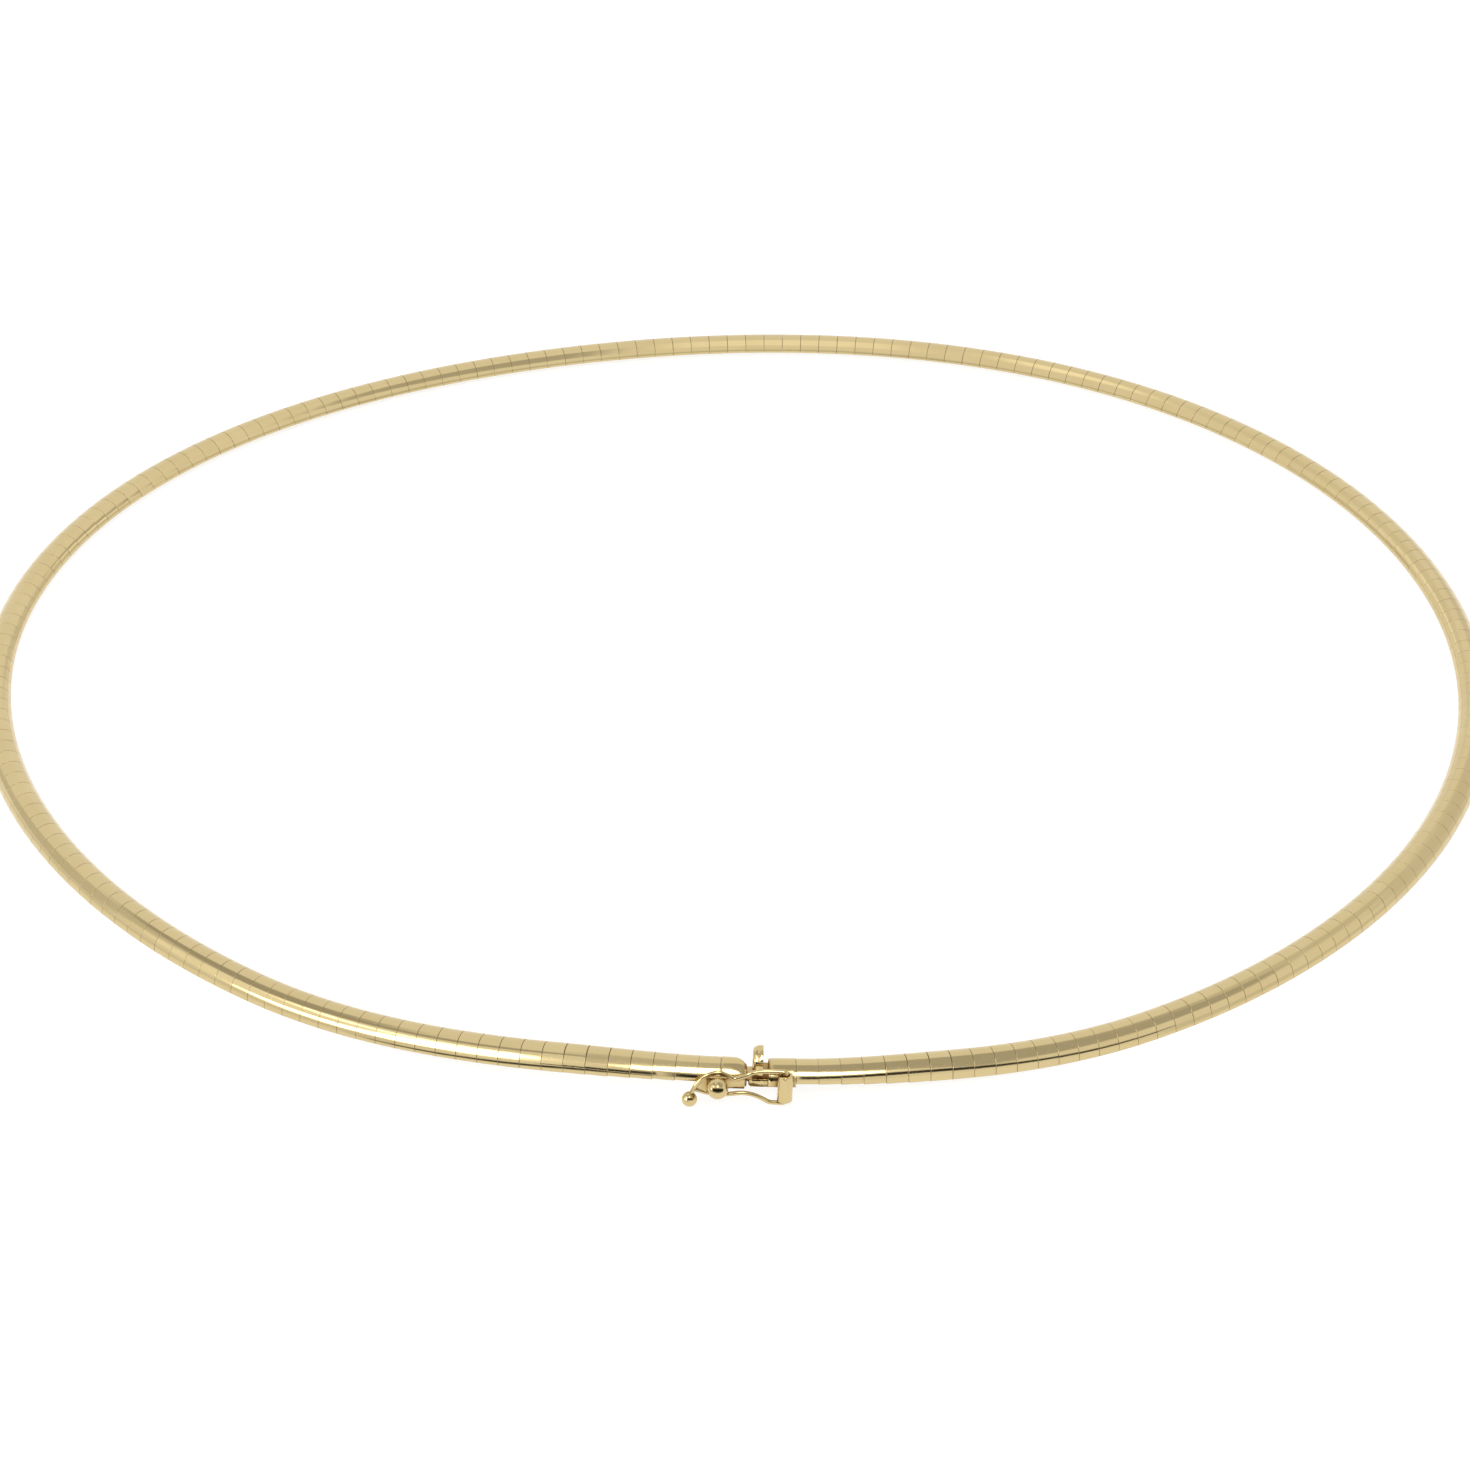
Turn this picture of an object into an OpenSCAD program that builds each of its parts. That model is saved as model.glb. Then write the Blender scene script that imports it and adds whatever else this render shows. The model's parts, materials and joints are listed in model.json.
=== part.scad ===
/* [Band] */
// Length of the whole closed loop, along the middle of the band
loop_length = 432; // [400:2:470]
// Width of the band
band_w = 3.1; // [2.9:0.05:3.6]
// Thickness of the band, from its flat underside to the crown of its dome
band_t = 1.5; // [1.4:0.05:1.8]
// Height of the upright side wall under the dome
side_h = 0.25; // [0.2:0.05:0.4]
// Chamfer along the two lower edges
edge_chamfer = 0.12; // [0.05:0.01:0.18]
// Length of band that one sleeve and its joint take up
sleeve_pitch = 1.93; // [1.85:0.01:2.6]
// Open joint between two sleeves
sleeve_gap = 0.12; // [0.1:0.01:0.16]

/* [Core] */
// Width of the flat strip that the sleeves are threaded on
core_w = 1.8; // [1.4:0.05:1.9]
// Thickness of that strip
core_t = 0.4; // [0.25:0.05:0.45]
// Free space between the strip and the slot that it runs in
core_clear = 0.1; // [0.1:0.01:0.13]
// Metal of a sleeve under the slot
sole_t = 0.3; // [0.25:0.05:0.35]

/* [Lying shape] */
// How far the band's outer edge tips down where it lies on a surface, in degrees
lean_angle = 12; // [8:0.5:16]
// The same at the clasp, where the safety catch props the outer edge up
clasp_angle = -5; // [-8:0.5:3]
// Length of band over which it comes down from the clasp to the surface
rise_run = 42; // [30:1:50]
// Length of band over which it tips from the clasp's lean to its own
lean_run = 14; // [11:1:20]
// Free height under the lowest point of the closed clasp
rest_clear = 0.35; // [0.05:0.05:0.4]

/* [Clasp ends] */
// Open length between the two ends of the closed clasp
clasp_gap = 1.8; // [1.6:0.1:2.2]
// Length of the box
box_l = 2.35; // [2.3:0.05:3]
// Length of the tongue's end piece
tongue_l = 2.2; // [2.1:0.05:3]
// How much deeper than the band the end pieces are
end_drop = 0.35; // [0.3:0.05:0.5]
// How far across the band the slanted face of the tongue's end piece reaches
nose_w = 2; // [1.6:0.1:2.2]
// How far along the band it reaches
nose_l = 1.6; // [1:0.1:1.7]
// Radius of the inner corner at the mouth of the box, seen from above
mouth_r = 1.3; // [0.5:0.1:1.4]
// Radius of the outer corners at the gap
corner_r = 0.2; // [0.1:0.05:0.3]
// Wall of the hollow box
box_wall = 0.25; // [0.2:0.05:0.3]
// Space between the upper leaf and the lip over the mouth of the box
lip_clear = 0.07; // [0.05:0.01:0.09]
// Metal between the box and the slot for the band's core
back_wall = 0.2; // [0.15:0.05:0.3]
// Depth of that slot in the box end
box_socket = 0.35; // [0.25:0.05:0.4]
// Depth of the slot in the tongue's end
tongue_socket = 0.7; // [0.4:0.05:0.75]
// Free space between the tray that runs on from the box and the tongue's end piece
tray_clear = 0.12; // [0.1:0.01:0.2]
// Radius of the tray's lower corner
tray_r = 0.3; // [0.2:0.05:0.3]

/* [Tongue and thumb tab] */
// Width of the tongue's lower leaf
tongue_w = 2.2; // [1.8:0.1:2.2]
// Thickness of the tongue's lower leaf
tongue_t = 0.25; // [0.2:0.05:0.3]
// Space between the lower leaf and the floor of the box
tongue_clear = 0.06; // [0.05:0.01:0.08]
// Radius of the round fold that joins the two leaves
fold_r = 0.22; // [0.18:0.01:0.24]
// Width of the upper leaf
leaf_w = 1.3; // [1:0.1:1.4]
// Thickness of the upper leaf
leaf_t = 0.2; // [0.15:0.01:0.22]
// Space between the fold and the upper leaf
leaf_clear = 0.08; // [0.06:0.01:0.1]
// Half the width of the thumb tab, and the radius of its half-round top
tab_r = 1.35; // [1.1:0.05:1.45]
// Height of the thumb tab's top above the crown of the band
tab_over = 1.35; // [1.1:0.05:1.6]
// Thickness of the thumb tab along the band
tab_t = 0.92; // [0.8:0.02:1.1]
// Radius of the tab's top edge on the side of the tongue's end
tab_edge_r = 0.65; // [0.4:0.05:0.75]

/* [Safety catch] */
// Length from the hinge to the finger ball
catch_l = 8.25; // [7.6:0.05:9]
// Height between the two wires where they meet the hinge pin
catch_h = 3.08; // [2.9:0.02:3.2]
// Height of its middle above the band's underside
catch_mid = 0.14; // [0.05:0.01:0.2]
// Radius of the wire
wire_r = 0.2; // [0.17:0.01:0.22]
// Radius of the finger ball at the tip
tip_r = 0.63; // [0.5:0.01:0.7]
// Outer radius of the hinge tube
tube_r = 0.67; // [0.62:0.01:0.75]
// Radius of the hinge pin
pin_r = 0.3; // [0.26:0.01:0.35]
// Free space round the pin in its tube
pin_clear = 0.07; // [0.05:0.01:0.09]
// Space between each end of the tube and the wire that passes over it
tube_end_clear = 0.07; // [0.05:0.01:0.12]
// Place of the tube along the band, from the mouth of the box
tube_at = 1.5; // [1.2:0.05:1.7]
// Space that the closed loop leaves round the stud
stud_clear = 0.07; // [0.06:0.01:0.15]
// Radius of the stem that carries the stud
stem_r = 0.3; // [0.2:0.02:0.36]
// Thickness of the plate that carries the stem
plate_t = 0.3; // [0.25:0.01:0.35]
// Space between that plate and the band on one side, and the wire on the other
plate_clear = 0.1; // [0.1:0.01:0.14]

/* [Hidden] */
$fn = 64;
gold = [0.87, 0.74, 0.45];
pale_gold = [0.9, 0.79, 0.54];
// How far a cutting body stands out of the face that it cuts
margin = 0.5;

// The loop is a circle with a few waves round it: how many, how high as a share of its radius,
// and the direction of a crest, counted anticlockwise from the right side with the clasp at -90
WAVES = [
    // count, share, crest
    [2, 0.0324, -2],
    [3, 0.0128, 43],
    [4, 0.0032, 65.5],
    [5, 0.0009, 2]
];
COUNT = 0;
SHARE = 1;
CREST = 2;
clasp_at = -90;

function sum_of(list, i = 0) = i < len(list) ? list[i] + sum_of(list, i + 1) : 0;
function wave(a) = 1 + sum_of([for (w = WAVES) w[SHARE] * cos(w[COUNT] * (a - w[CREST]))]);
function wave_slope(a) = -sum_of([for (w = WAVES) w[COUNT] * w[SHARE] * sin(w[COUNT] * (a - w[CREST]))]);
// Length of loop for one radian of turn, on a loop of mean radius 1
function unit_speed(a) = norm([wave(a), wave_slope(a)]);
radian = 180 / PI;
unit_length = sum_of([for (a = [0.5 : 1 : 359.5]) unit_speed(a)]) / radian;
mean_r = loop_length / unit_length;

// Direction of the outward normal at polar angle a
function normal_at(a) = a - atan2(wave_slope(a), wave(a));
// Polar angle a short way d further along the loop
function onward(a, d) = a + d / mean_r / unit_speed(a + d / mean_r / unit_speed(a) * radian / 2) * radian;
function bend_radius(a) = mean_r * unit_speed(a) / (normal_at(a + 0.5) - normal_at(a - 0.5));

// Stretches along the loop, measured from the middle of the clasp
gap_half = clasp_gap / 2;
box_far = gap_half + box_l;
tongue_far = gap_half + tongue_l;

dome_h = band_t - side_h;
dome_r = (pow(band_w / 2, 2) + dome_h * dome_h) / (2 * dome_h);
dome_mid = band_t - dome_r;
slot_w = core_w + 2 * core_clear;
slot_h = core_t + 2 * core_clear;

clasp_r = bend_radius(clasp_at);
box_floor = box_wall - end_drop;
box_depth = box_l - back_wall - box_socket;
tongue_floor = box_floor + tongue_clear;
tongue_top = tongue_floor + tongue_t;
fold_at = gap_half + box_depth - fold_r - tongue_clear * 2;
fold_v = tongue_top + fold_r * 0.9;
leaf_v = fold_v + fold_r + leaf_clear;
leaf_end = fold_at + fold_r;
lip_v = leaf_v + leaf_t + lip_clear;
lip_t = 0.3;
step_l = 0.25;
step_w = leaf_w * 0.6;
step_rise = 0.12;
tab_top = band_t + tab_over;
tab_left = -tab_t / 2;

tube_s = gap_half + tube_at;
catch_u = band_w / 2 + plate_clear + plate_t + plate_clear + wire_r;
// The two wires of the safety catch: way along it from the hinge to the tip as a share of its
// length, and height over its middle as a share of its height
UPPER_WIRE = [
    [0, 0.5], [0.1, 0.505], [0.22, 0.505], [0.34, 0.45], [0.4, 0.36], [0.48, 0.28], [0.54, 0.24],
    [0.61, 0.34], [0.71, 0.43], [0.84, 0.29], [0.93, 0.02], [0.98, -0.26], [1, -0.465]
];
LOWER_WIRE = [
    [0, -0.5], [0.09, -0.5], [0.17, -0.475], [0.24, -0.37], [0.33, -0.265], [0.42, -0.22], [0.49, -0.225],
    [0.58, -0.26], [0.71, -0.285], [0.84, -0.22], [0.955, -0.12]
];
// The stud stands in the loop where the two wires are farthest apart
STUD_SHARE = 0.71;
stud_over = 0.43;
stud_under = -0.285;
catch_low = catch_mid - catch_h / 2;
stud_r = catch_h * (stud_over - stud_under) / 2 - wire_r - stud_clear;
stud_s = tube_s - catch_l * STUD_SHARE;
stud_v = catch_mid + catch_h * (stud_over + stud_under) / 2;
stud_out = catch_u + stud_r;
plate_u = band_w / 2 + plate_clear;
plate_low = -0.3;
plate_over = 0.95;
plate_rim = 0.05;
plate_high = stud_v + stem_r + plate_rim;
// Foot that joins the plate to the tongue's end piece: depth in it, distance from its far end, and
// height over the side wall
foot_in = 0.4;
foot_from = 0.3;
foot_over = 0.3;
tip_v = catch_mid + catch_h * UPPER_WIRE[len(UPPER_WIRE) - 1][1];
tube_low = catch_low + wire_r + tube_end_clear;
tube_high = catch_mid + catch_h / 2 - wire_r - tube_end_clear;

// Drop of a point of the clasp below the band's resting edge there
function clasp_drop(u, v) =
    (u - (band_w / 2 - edge_chamfer)) * sin(clasp_angle) - v * cos(clasp_angle);
// The band rises to a top at the finger ball, and the whole clasp lies along the slope beside it
tip_s = tube_s - catch_l;
tip_share = -tip_s / rise_run;
clasp_rise = (rest_clear + max(
    clasp_drop(catch_u + pin_r, catch_low - pin_r),
    clasp_drop(catch_u, tip_v) + tip_r
)) / (1 - eased(tip_share) + tip_share * eased_slope(tip_share));

// The whole loop turns so that the clasp faces straight along -Y, then its box is centred
clasp_turn = clasp_at - normal_at(clasp_at);
function turned(a) = mean_r * wave(a) * [cos(a + clasp_turn), sin(a + clasp_turn)];
sweep_points = [for (a = [0 : 1 : 359]) turned(a)];
xs = [for (p = sweep_points) p.x];
ys = [for (p = sweep_points) p.y];
reach_front = stud_out + stud_r * cos(clasp_angle) - band_w / 2;
loop_shift = -[(max(xs) + min(xs)) / 2, (max(ys) + min(ys) - reach_front) / 2];
function place(a) = turned(a) + loop_shift;
clasp_point = place(clasp_at);

run_start = box_far + sleeve_gap / 2;
run_length = loop_length - box_far - tongue_far - sleeve_gap;
sleeves = round(run_length / sleeve_pitch);
pitch = run_length / sleeves;
first_angle = onward(clasp_at, run_start);
// Polar angles of the joints and of the sleeves' middles, half a pitch apart
stations = [for (i = 0, a = first_angle; i <= 2 * sleeves; i = i + 1, a = onward(a, pitch / 2)) a];
function station_length(i) = run_start + i * pitch / 2;

// The band comes down from the clasp to the surface, and tips to its own lean
function eased(x) = let (q = min(max(x, 0), 1)) q * q * (3 - 2 * q);
function eased_slope(q) = 6 * q * (1 - q);
function apart(s, t) = min(abs(s - t), abs(s - t - loop_length));
function rise_at(s) = clasp_rise * (1 - eased(apart(s, tip_s) / rise_run));
function lean_at(s) = clasp_angle + (lean_angle - clasp_angle) * eased((apart(s, 0) - box_far) / lean_run);
// Height of the middle of the underside, for the outer lower edge to lie at the rise
function height_at(s) = rise_at(s) + (band_w / 2 - edge_chamfer) * sin(lean_at(s));
function slope_at(s) = atan((height_at(s + pitch / 2) - height_at(s - pitch / 2)) / pitch);
clasp_slope = slope_at(0);

// Band's outline: flat underside with chamfered edges, upright sides and a dome
module band_outline(drop = 0) {
    low = -drop;
    side = band_w / 2;
    intersection() {
        translate([0, dome_mid]) circle(r = dome_r);
        polygon([
            [-side + edge_chamfer, low], [side - edge_chamfer, low], [side, low + edge_chamfer],
            [side, band_t], [-side, band_t], [-side, low + edge_chamfer]
        ]);
    }
    if (drop > 0)
        polygon([
            [-side + edge_chamfer, low], [side - edge_chamfer, low], [side, low + edge_chamfer],
            [side, side_h], [-side, side_h], [-side, low + edge_chamfer]
        ]);
}

module slot_outline() {
    translate([-slot_w / 2, sole_t]) square([slot_w, slot_h]);
}

// Sweep an outline from s = 0 over a length, round a bend of the given radius, leaning outwards
module bent(length, radius, tip) {
    translate([-radius, 0, 0])
        rotate_extrude(angle = length / radius * radian, $fn = 360)
            translate([radius, 0]) rotate(-tip) children();
}

module sleeve(i) {
    a = stations[i];
    s = station_length(i);
    turn = normal_at(stations[i + 1]) - normal_at(stations[i - 1]);
    bend = pitch / turn * radian;
    body = pitch - sleeve_gap;
    translate([place(a).x, place(a).y, height_at(s)])
        rotate([0, 0, normal_at(a) + clasp_turn])
            rotate([slope_at(s), 0, 0])
                translate([-bend, 0, 0])
                    rotate([0, 0, -body / bend * radian / 2])
                        rotate_extrude(angle = body / bend * radian, $fn = 360)
                            translate([bend, 0]) rotate(-lean_at(s))
                                difference() {
                                    band_outline();
                                    slot_outline();
                                }
}

module band_sleeves() {
    color(gold)
        for (i = [1 : 2 : 2 * sleeves - 1]) sleeve(i);
}

// Corner of the core strip at a station: u across the band, v up from its underside
function core_corner(a, s, u, v) =
    let (out = u * cos(lean_at(s)) + v * sin(lean_at(s)), up = v * cos(lean_at(s)) - u * sin(lean_at(s)))
    let (n = normal_at(a) + clasp_turn, t = slope_at(s))
    [
        place(a).x + out * cos(n) + up * sin(t) * sin(n),
        place(a).y + out * sin(n) - up * sin(t) * cos(n),
        height_at(s) + up * cos(t)
    ];

function core_ring(a, s) =
    let (low = sole_t + core_clear, high = low + core_t, side = core_w / 2)
    [
        core_corner(a, s, -side, low), core_corner(a, s, side, low),
        core_corner(a, s, side, high), core_corner(a, s, -side, high)
    ];

// Closed skin over rings that all have the same number of points, run the way that the band runs
function skin_faces(rings, sides) = concat(
    [[for (k = [sides - 1 : -1 : 0]) k]],
    [for (i = [0 : rings - 2], k = [0 : sides - 1])
        [i * sides + k, (i + 1) * sides + (k + 1) % sides, (i + 1) * sides + k]],
    [for (i = [0 : rings - 2], k = [0 : sides - 1])
        [i * sides + k, i * sides + (k + 1) % sides, (i + 1) * sides + (k + 1) % sides]],
    [[for (k = [0 : sides - 1]) (rings - 1) * sides + k]]
);

core_in_box = sleeve_gap / 2 + box_socket - core_clear;
core_in_tongue = sleeve_gap / 2 + tongue_socket - core_clear;

module core_strip() {
    core_angles = concat(
        [onward(stations[0], -core_in_box)],
        [for (i = [0 : 2 : 2 * sleeves]) stations[i]],
        [onward(stations[2 * sleeves], core_in_tongue)]
    );
    core_lengths = concat(
        [run_start - core_in_box],
        [for (i = [0 : 2 : 2 * sleeves]) station_length(i)],
        [run_start + run_length + core_in_tongue]
    );
    rings = [for (i = [0 : len(core_angles) - 1]) core_ring(core_angles[i], core_lengths[i])];
    color(pale_gold)
        polyhedron(points = [for (r = rings, p = r) p], faces = skin_faces(len(rings), 4), convexity = 10);
}

// Frame of the closed clasp: x out of the loop, y along the band from the gap's middle, z up
module in_clasp() {
    translate([clasp_point.x, clasp_point.y, height_at(0)])
        rotate([0, 0, clasp_at])
            rotate([clasp_slope, 0, 0])
                rotate([0, clasp_angle, 0])
                    children();
}

// The same place without the lean, for outlines that carry it themselves
module at_clasp(s) {
    translate([clasp_point.x, clasp_point.y, height_at(0)])
        rotate([0, 0, clasp_at])
            rotate([clasp_slope, 0, 0])
                translate([-clasp_r, 0, 0]) rotate([0, 0, s / clasp_r * radian]) translate([clasp_r, 0, 0])
                    children();
}

module end_body(from, length) {
    at_clasp(from) bent(length, clasp_r, clasp_angle) band_outline(end_drop);
}

module end_socket(from, depth) {
    at_clasp(from) bent(depth, clasp_r, clasp_angle) slot_outline();
}

// Rounded corner at a face at y = 0, of a body that runs on along y, cut off over all its height
module corner_cut(side, r) {
    translate([side * band_w / 2, 0, -end_drop - margin])
        linear_extrude(band_t + end_drop + 2 * margin)
            difference() {
                translate([-r, -r]) square(2 * r);
                translate([-side * r, r]) circle(r = r);
                translate([-side * 2 * r, 0]) translate([-r, 0]) square(2 * r);
                translate([-r, r]) square(2 * r);
            }
}

// Slanted inner face of the tongue's end piece, in the same place
module nose_cut() {
    inner = -band_w / 2;
    slant = nose_w / nose_l;
    translate([0, 0, -end_drop - margin])
        linear_extrude(band_t + end_drop + 2 * margin)
            polygon([
                [inner + nose_w + slant * margin, -margin],
                [inner - slant * margin, nose_l + margin],
                [inner - (slant + 1) * margin, -margin]
            ]);
}

module stud_and_plate() {
    near = -gap_half - corner_r;
    far = stud_s - plate_over;
    translate([plate_u, far, plate_low]) cube([plate_t, near - far, plate_high - plate_low]);
    translate([band_w / 2 - foot_in, foot_from - tongue_far, plate_low])
        cube([
            plate_u + plate_t / 2 - band_w / 2 + foot_in,
            tongue_l - foot_from - corner_r,
            side_h + foot_over - plate_low
        ]);
    translate([plate_u + plate_t / 2, stud_s, stud_v])
        rotate([0, 90, 0]) cylinder(r = stem_r, h = stud_out - plate_u - plate_t / 2);
    translate([stud_out, stud_s, stud_v]) sphere(r = stud_r);
}

module tongue_end() {
    color(gold) {
        difference() {
            end_body(-tongue_far, tongue_l);
            end_socket(-tongue_far - margin, tongue_socket + margin);
            in_clasp()
                translate([0, -gap_half, 0])
                    mirror([0, 1, 0]) {
                        nose_cut();
                        corner_cut(1, corner_r);
                    }
        }
        in_clasp() {
            stud_and_plate();
            translate([-tongue_w / 2, -gap_half - nose_l, tongue_floor])
                cube([tongue_w, fold_at + gap_half + nose_l, tongue_t]);
            translate([-leaf_w / 2, fold_at, fold_v])
                rotate([0, 90, 0]) cylinder(r = fold_r, h = leaf_w);
        }
    }
}

module box_outline(top) {
    side = band_w / 2 - box_wall;
    intersection() {
        translate([0, dome_mid]) circle(r = dome_r - box_wall);
        translate([-side, box_floor]) square([2 * side, top - box_floor]);
    }
}

// Hollow of the box, and its mouth under the lip
module box_cavity() {
    translate([0, gap_half + box_depth, 0])
        rotate([90, 0, 0]) linear_extrude(box_depth - lip_t) box_outline(band_t);
    translate([0, gap_half + box_depth, 0])
        rotate([90, 0, 0]) linear_extrude(box_depth + margin) box_outline(lip_v);
}

// Side outline of the tray under the gap, up to a height, with its lower corner rounded
module tray_side(top) {
    from = -gap_half + tray_clear;
    difference() {
        translate([from, -end_drop]) square([gap_half + 2 * corner_r - from, top + end_drop]);
        difference() {
            translate([from - tray_r, -end_drop - tray_r]) square(2 * tray_r);
            translate([from + tray_r, tray_r - end_drop]) circle(r = tray_r);
        }
    }
}

module tray() {
    side = band_w / 2 - edge_chamfer;
    translate([-side, 0, 0]) rotate([90, 0, 90]) linear_extrude(2 * side) tray_side(box_floor);
    translate([side - box_wall, 0, 0]) rotate([90, 0, 90]) linear_extrude(box_wall) tray_side(tongue_top);
}

module box_end() {
    web_w = tube_r * 1.3;
    color(gold)
        difference() {
            union() {
                difference() {
                    end_body(gap_half, box_l);
                    end_socket(box_far - box_socket, box_socket + margin);
                    in_clasp() box_cavity();
                    in_clasp()
                        translate([0, gap_half, 0]) {
                            corner_cut(-1, mouth_r);
                            corner_cut(1, corner_r);
                        }
                }
                in_clasp() {
                    tray();
                    translate([band_w / 2 - box_wall * 0.6, tube_s - web_w / 2, -end_drop + edge_chamfer])
                        cube([catch_u - band_w / 2 + box_wall * 0.6, web_w, end_drop + side_h]);
                    translate([catch_u, tube_s, tube_low]) cylinder(r = tube_r, h = tube_high - tube_low);
                }
            }
            in_clasp() translate([catch_u, tube_s, tube_low - margin])
                cylinder(r = pin_r + pin_clear, h = tube_high - tube_low + 2 * margin);
        }
}

module thumb_tab() {
    color(pale_gold)
        in_clasp() {
            translate([-leaf_w / 2, 0, leaf_v]) cube([leaf_w, leaf_end, leaf_t]);
            translate([-step_w / 2, gap_half + lip_t + lip_clear, leaf_v])
                cube([step_w, step_l, lip_v + step_rise - leaf_v]);
            intersection() {
                translate([0, tab_left + tab_t, 0]) rotate([90, 0, 0])
                    linear_extrude(tab_t) {
                        translate([-tab_r, leaf_v]) square([2 * tab_r, tab_top - tab_r - leaf_v]);
                        translate([0, tab_top - tab_r]) circle(r = tab_r);
                    }
                translate([-tab_r - margin, tab_left, leaf_v]) rotate([90, 0, 90])
                    linear_extrude(2 * (tab_r + margin)) {
                        square([tab_t, tab_top - tab_edge_r - leaf_v]);
                        translate([tab_edge_r, 0]) square([tab_t - tab_edge_r, tab_top - leaf_v + margin]);
                        translate([tab_edge_r, tab_top - tab_edge_r - leaf_v]) circle(r = tab_edge_r);
                    }
            }
        }
}

// Smooth curve through a wire's points, four steps from each to the next
function blend(p0, p1, p2, p3, t) =
    0.5 * (2 * p1 + (p2 - p0) * t + (2 * p0 - 5 * p1 + 4 * p2 - p3) * t * t
        + (3 * p1 - p0 - 3 * p2 + p3) * t * t * t);
function curve(points, steps = 4) = let (last = len(points) - 1) concat(
    [for (i = [0 : last - 1], j = [0 : steps - 1])
        blend(points[max(i - 1, 0)], points[i], points[i + 1], points[min(i + 2, last)], j / steps)],
    [points[last]]
);

// Round wire in the plane x = catch_u, with points as [y, z]
module wire(table) {
    sides = 12;
    way = curve([for (p = table) [tube_s - catch_l * p.x, catch_mid + catch_h * p.y]]);
    last = len(way) - 1;
    rings = [for (i = [0 : last])
        let (d = way[min(i + 1, last)] - way[max(i - 1, 0)], across = [-d.y, d.x] / norm(d))
        [for (k = [0 : sides - 1])
            let (c = wire_r * cos(k * 360 / sides), t = wire_r * sin(k * 360 / sides))
            [catch_u + c, way[i].x + across.x * t, way[i].y + across.y * t]]
    ];
    polyhedron(points = [for (r = rings, p = r) p], faces = skin_faces(len(rings), sides), convexity = 6);
}

module safety_catch() {
    color(gold)
        in_clasp() {
            translate([catch_u, tube_s, catch_low]) {
                cylinder(r = pin_r, h = catch_h);
                sphere(r = pin_r);
                translate([0, 0, catch_h]) sphere(r = pin_r);
            }
            wire(UPPER_WIRE);
            wire(LOWER_WIRE);
            translate([catch_u, tube_s - catch_l, tip_v]) sphere(r = tip_r);
        }
}

band_sleeves();
core_strip();
tongue_end();
box_end();
thumb_tab();
safety_catch();
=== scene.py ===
"""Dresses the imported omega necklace: a collar of domed gold sleeves, its box clasp and its safety catch.

Sizes are in millimetres and repeat those of the part's source. Meshes are turned into metres, in the frame of
the CAD, when a piece is made.
"""

from __future__ import annotations

import json
import logging
import math
import random
from dataclasses import dataclass, field
from enum import Enum
from typing import Callable, Sequence

import bmesh
import bpy
import numpy as np
from mathutils import Matrix, Vector
from mathutils.bvhtree import BVHTree

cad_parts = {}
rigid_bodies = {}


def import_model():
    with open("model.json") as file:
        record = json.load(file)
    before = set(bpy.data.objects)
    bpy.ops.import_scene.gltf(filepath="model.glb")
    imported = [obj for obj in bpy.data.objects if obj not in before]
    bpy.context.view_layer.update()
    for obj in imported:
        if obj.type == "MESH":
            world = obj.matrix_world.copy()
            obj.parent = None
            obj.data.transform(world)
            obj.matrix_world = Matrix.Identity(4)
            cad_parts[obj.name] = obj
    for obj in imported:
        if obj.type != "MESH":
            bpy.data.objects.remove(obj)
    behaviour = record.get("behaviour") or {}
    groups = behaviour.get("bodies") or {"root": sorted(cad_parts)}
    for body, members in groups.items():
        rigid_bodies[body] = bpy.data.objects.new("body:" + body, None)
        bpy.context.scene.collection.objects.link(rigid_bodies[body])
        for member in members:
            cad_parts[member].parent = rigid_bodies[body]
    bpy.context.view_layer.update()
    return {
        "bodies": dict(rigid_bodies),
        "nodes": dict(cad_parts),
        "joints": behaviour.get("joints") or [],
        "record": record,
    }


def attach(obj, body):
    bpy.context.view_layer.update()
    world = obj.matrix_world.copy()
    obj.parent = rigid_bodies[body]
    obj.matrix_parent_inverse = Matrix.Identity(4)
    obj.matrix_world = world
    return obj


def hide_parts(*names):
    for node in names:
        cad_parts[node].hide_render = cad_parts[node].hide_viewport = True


LOG = logging.getLogger("necklace")
MM = 0.001
# Heights well under and well over the clasp
BELOW, ABOVE = -2.0, 3.0
# Least divisor where a ratio is worked out
TINY = 1e-9

Point2 = tuple[float, float]
Point3 = tuple[float, float, float]
Colour = tuple[float, float, float, float]
Faces = list[tuple[int, ...]]


class Across(Enum):
    """Direction in the clasp's frame in which an outline is extruded."""

    OUT = "u"
    ALONG = "s"
    UP = "v"


class Joint(Enum):
    """How a second body acts on the body that it meets."""

    CUT = "DIFFERENCE"
    KEEP = "INTERSECT"


# The lying loop


@dataclass(frozen=True)
class Wave:
    """One wave round the loop: how many, how high as a share of the radius, and its crest in degrees."""

    count: int
    share: float
    crest: float


def eased(x: float) -> float:
    """Smooth step from 0 to 1."""
    q = min(max(x, 0.0), 1.0)
    return q * q * (3 - 2 * q)


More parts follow.
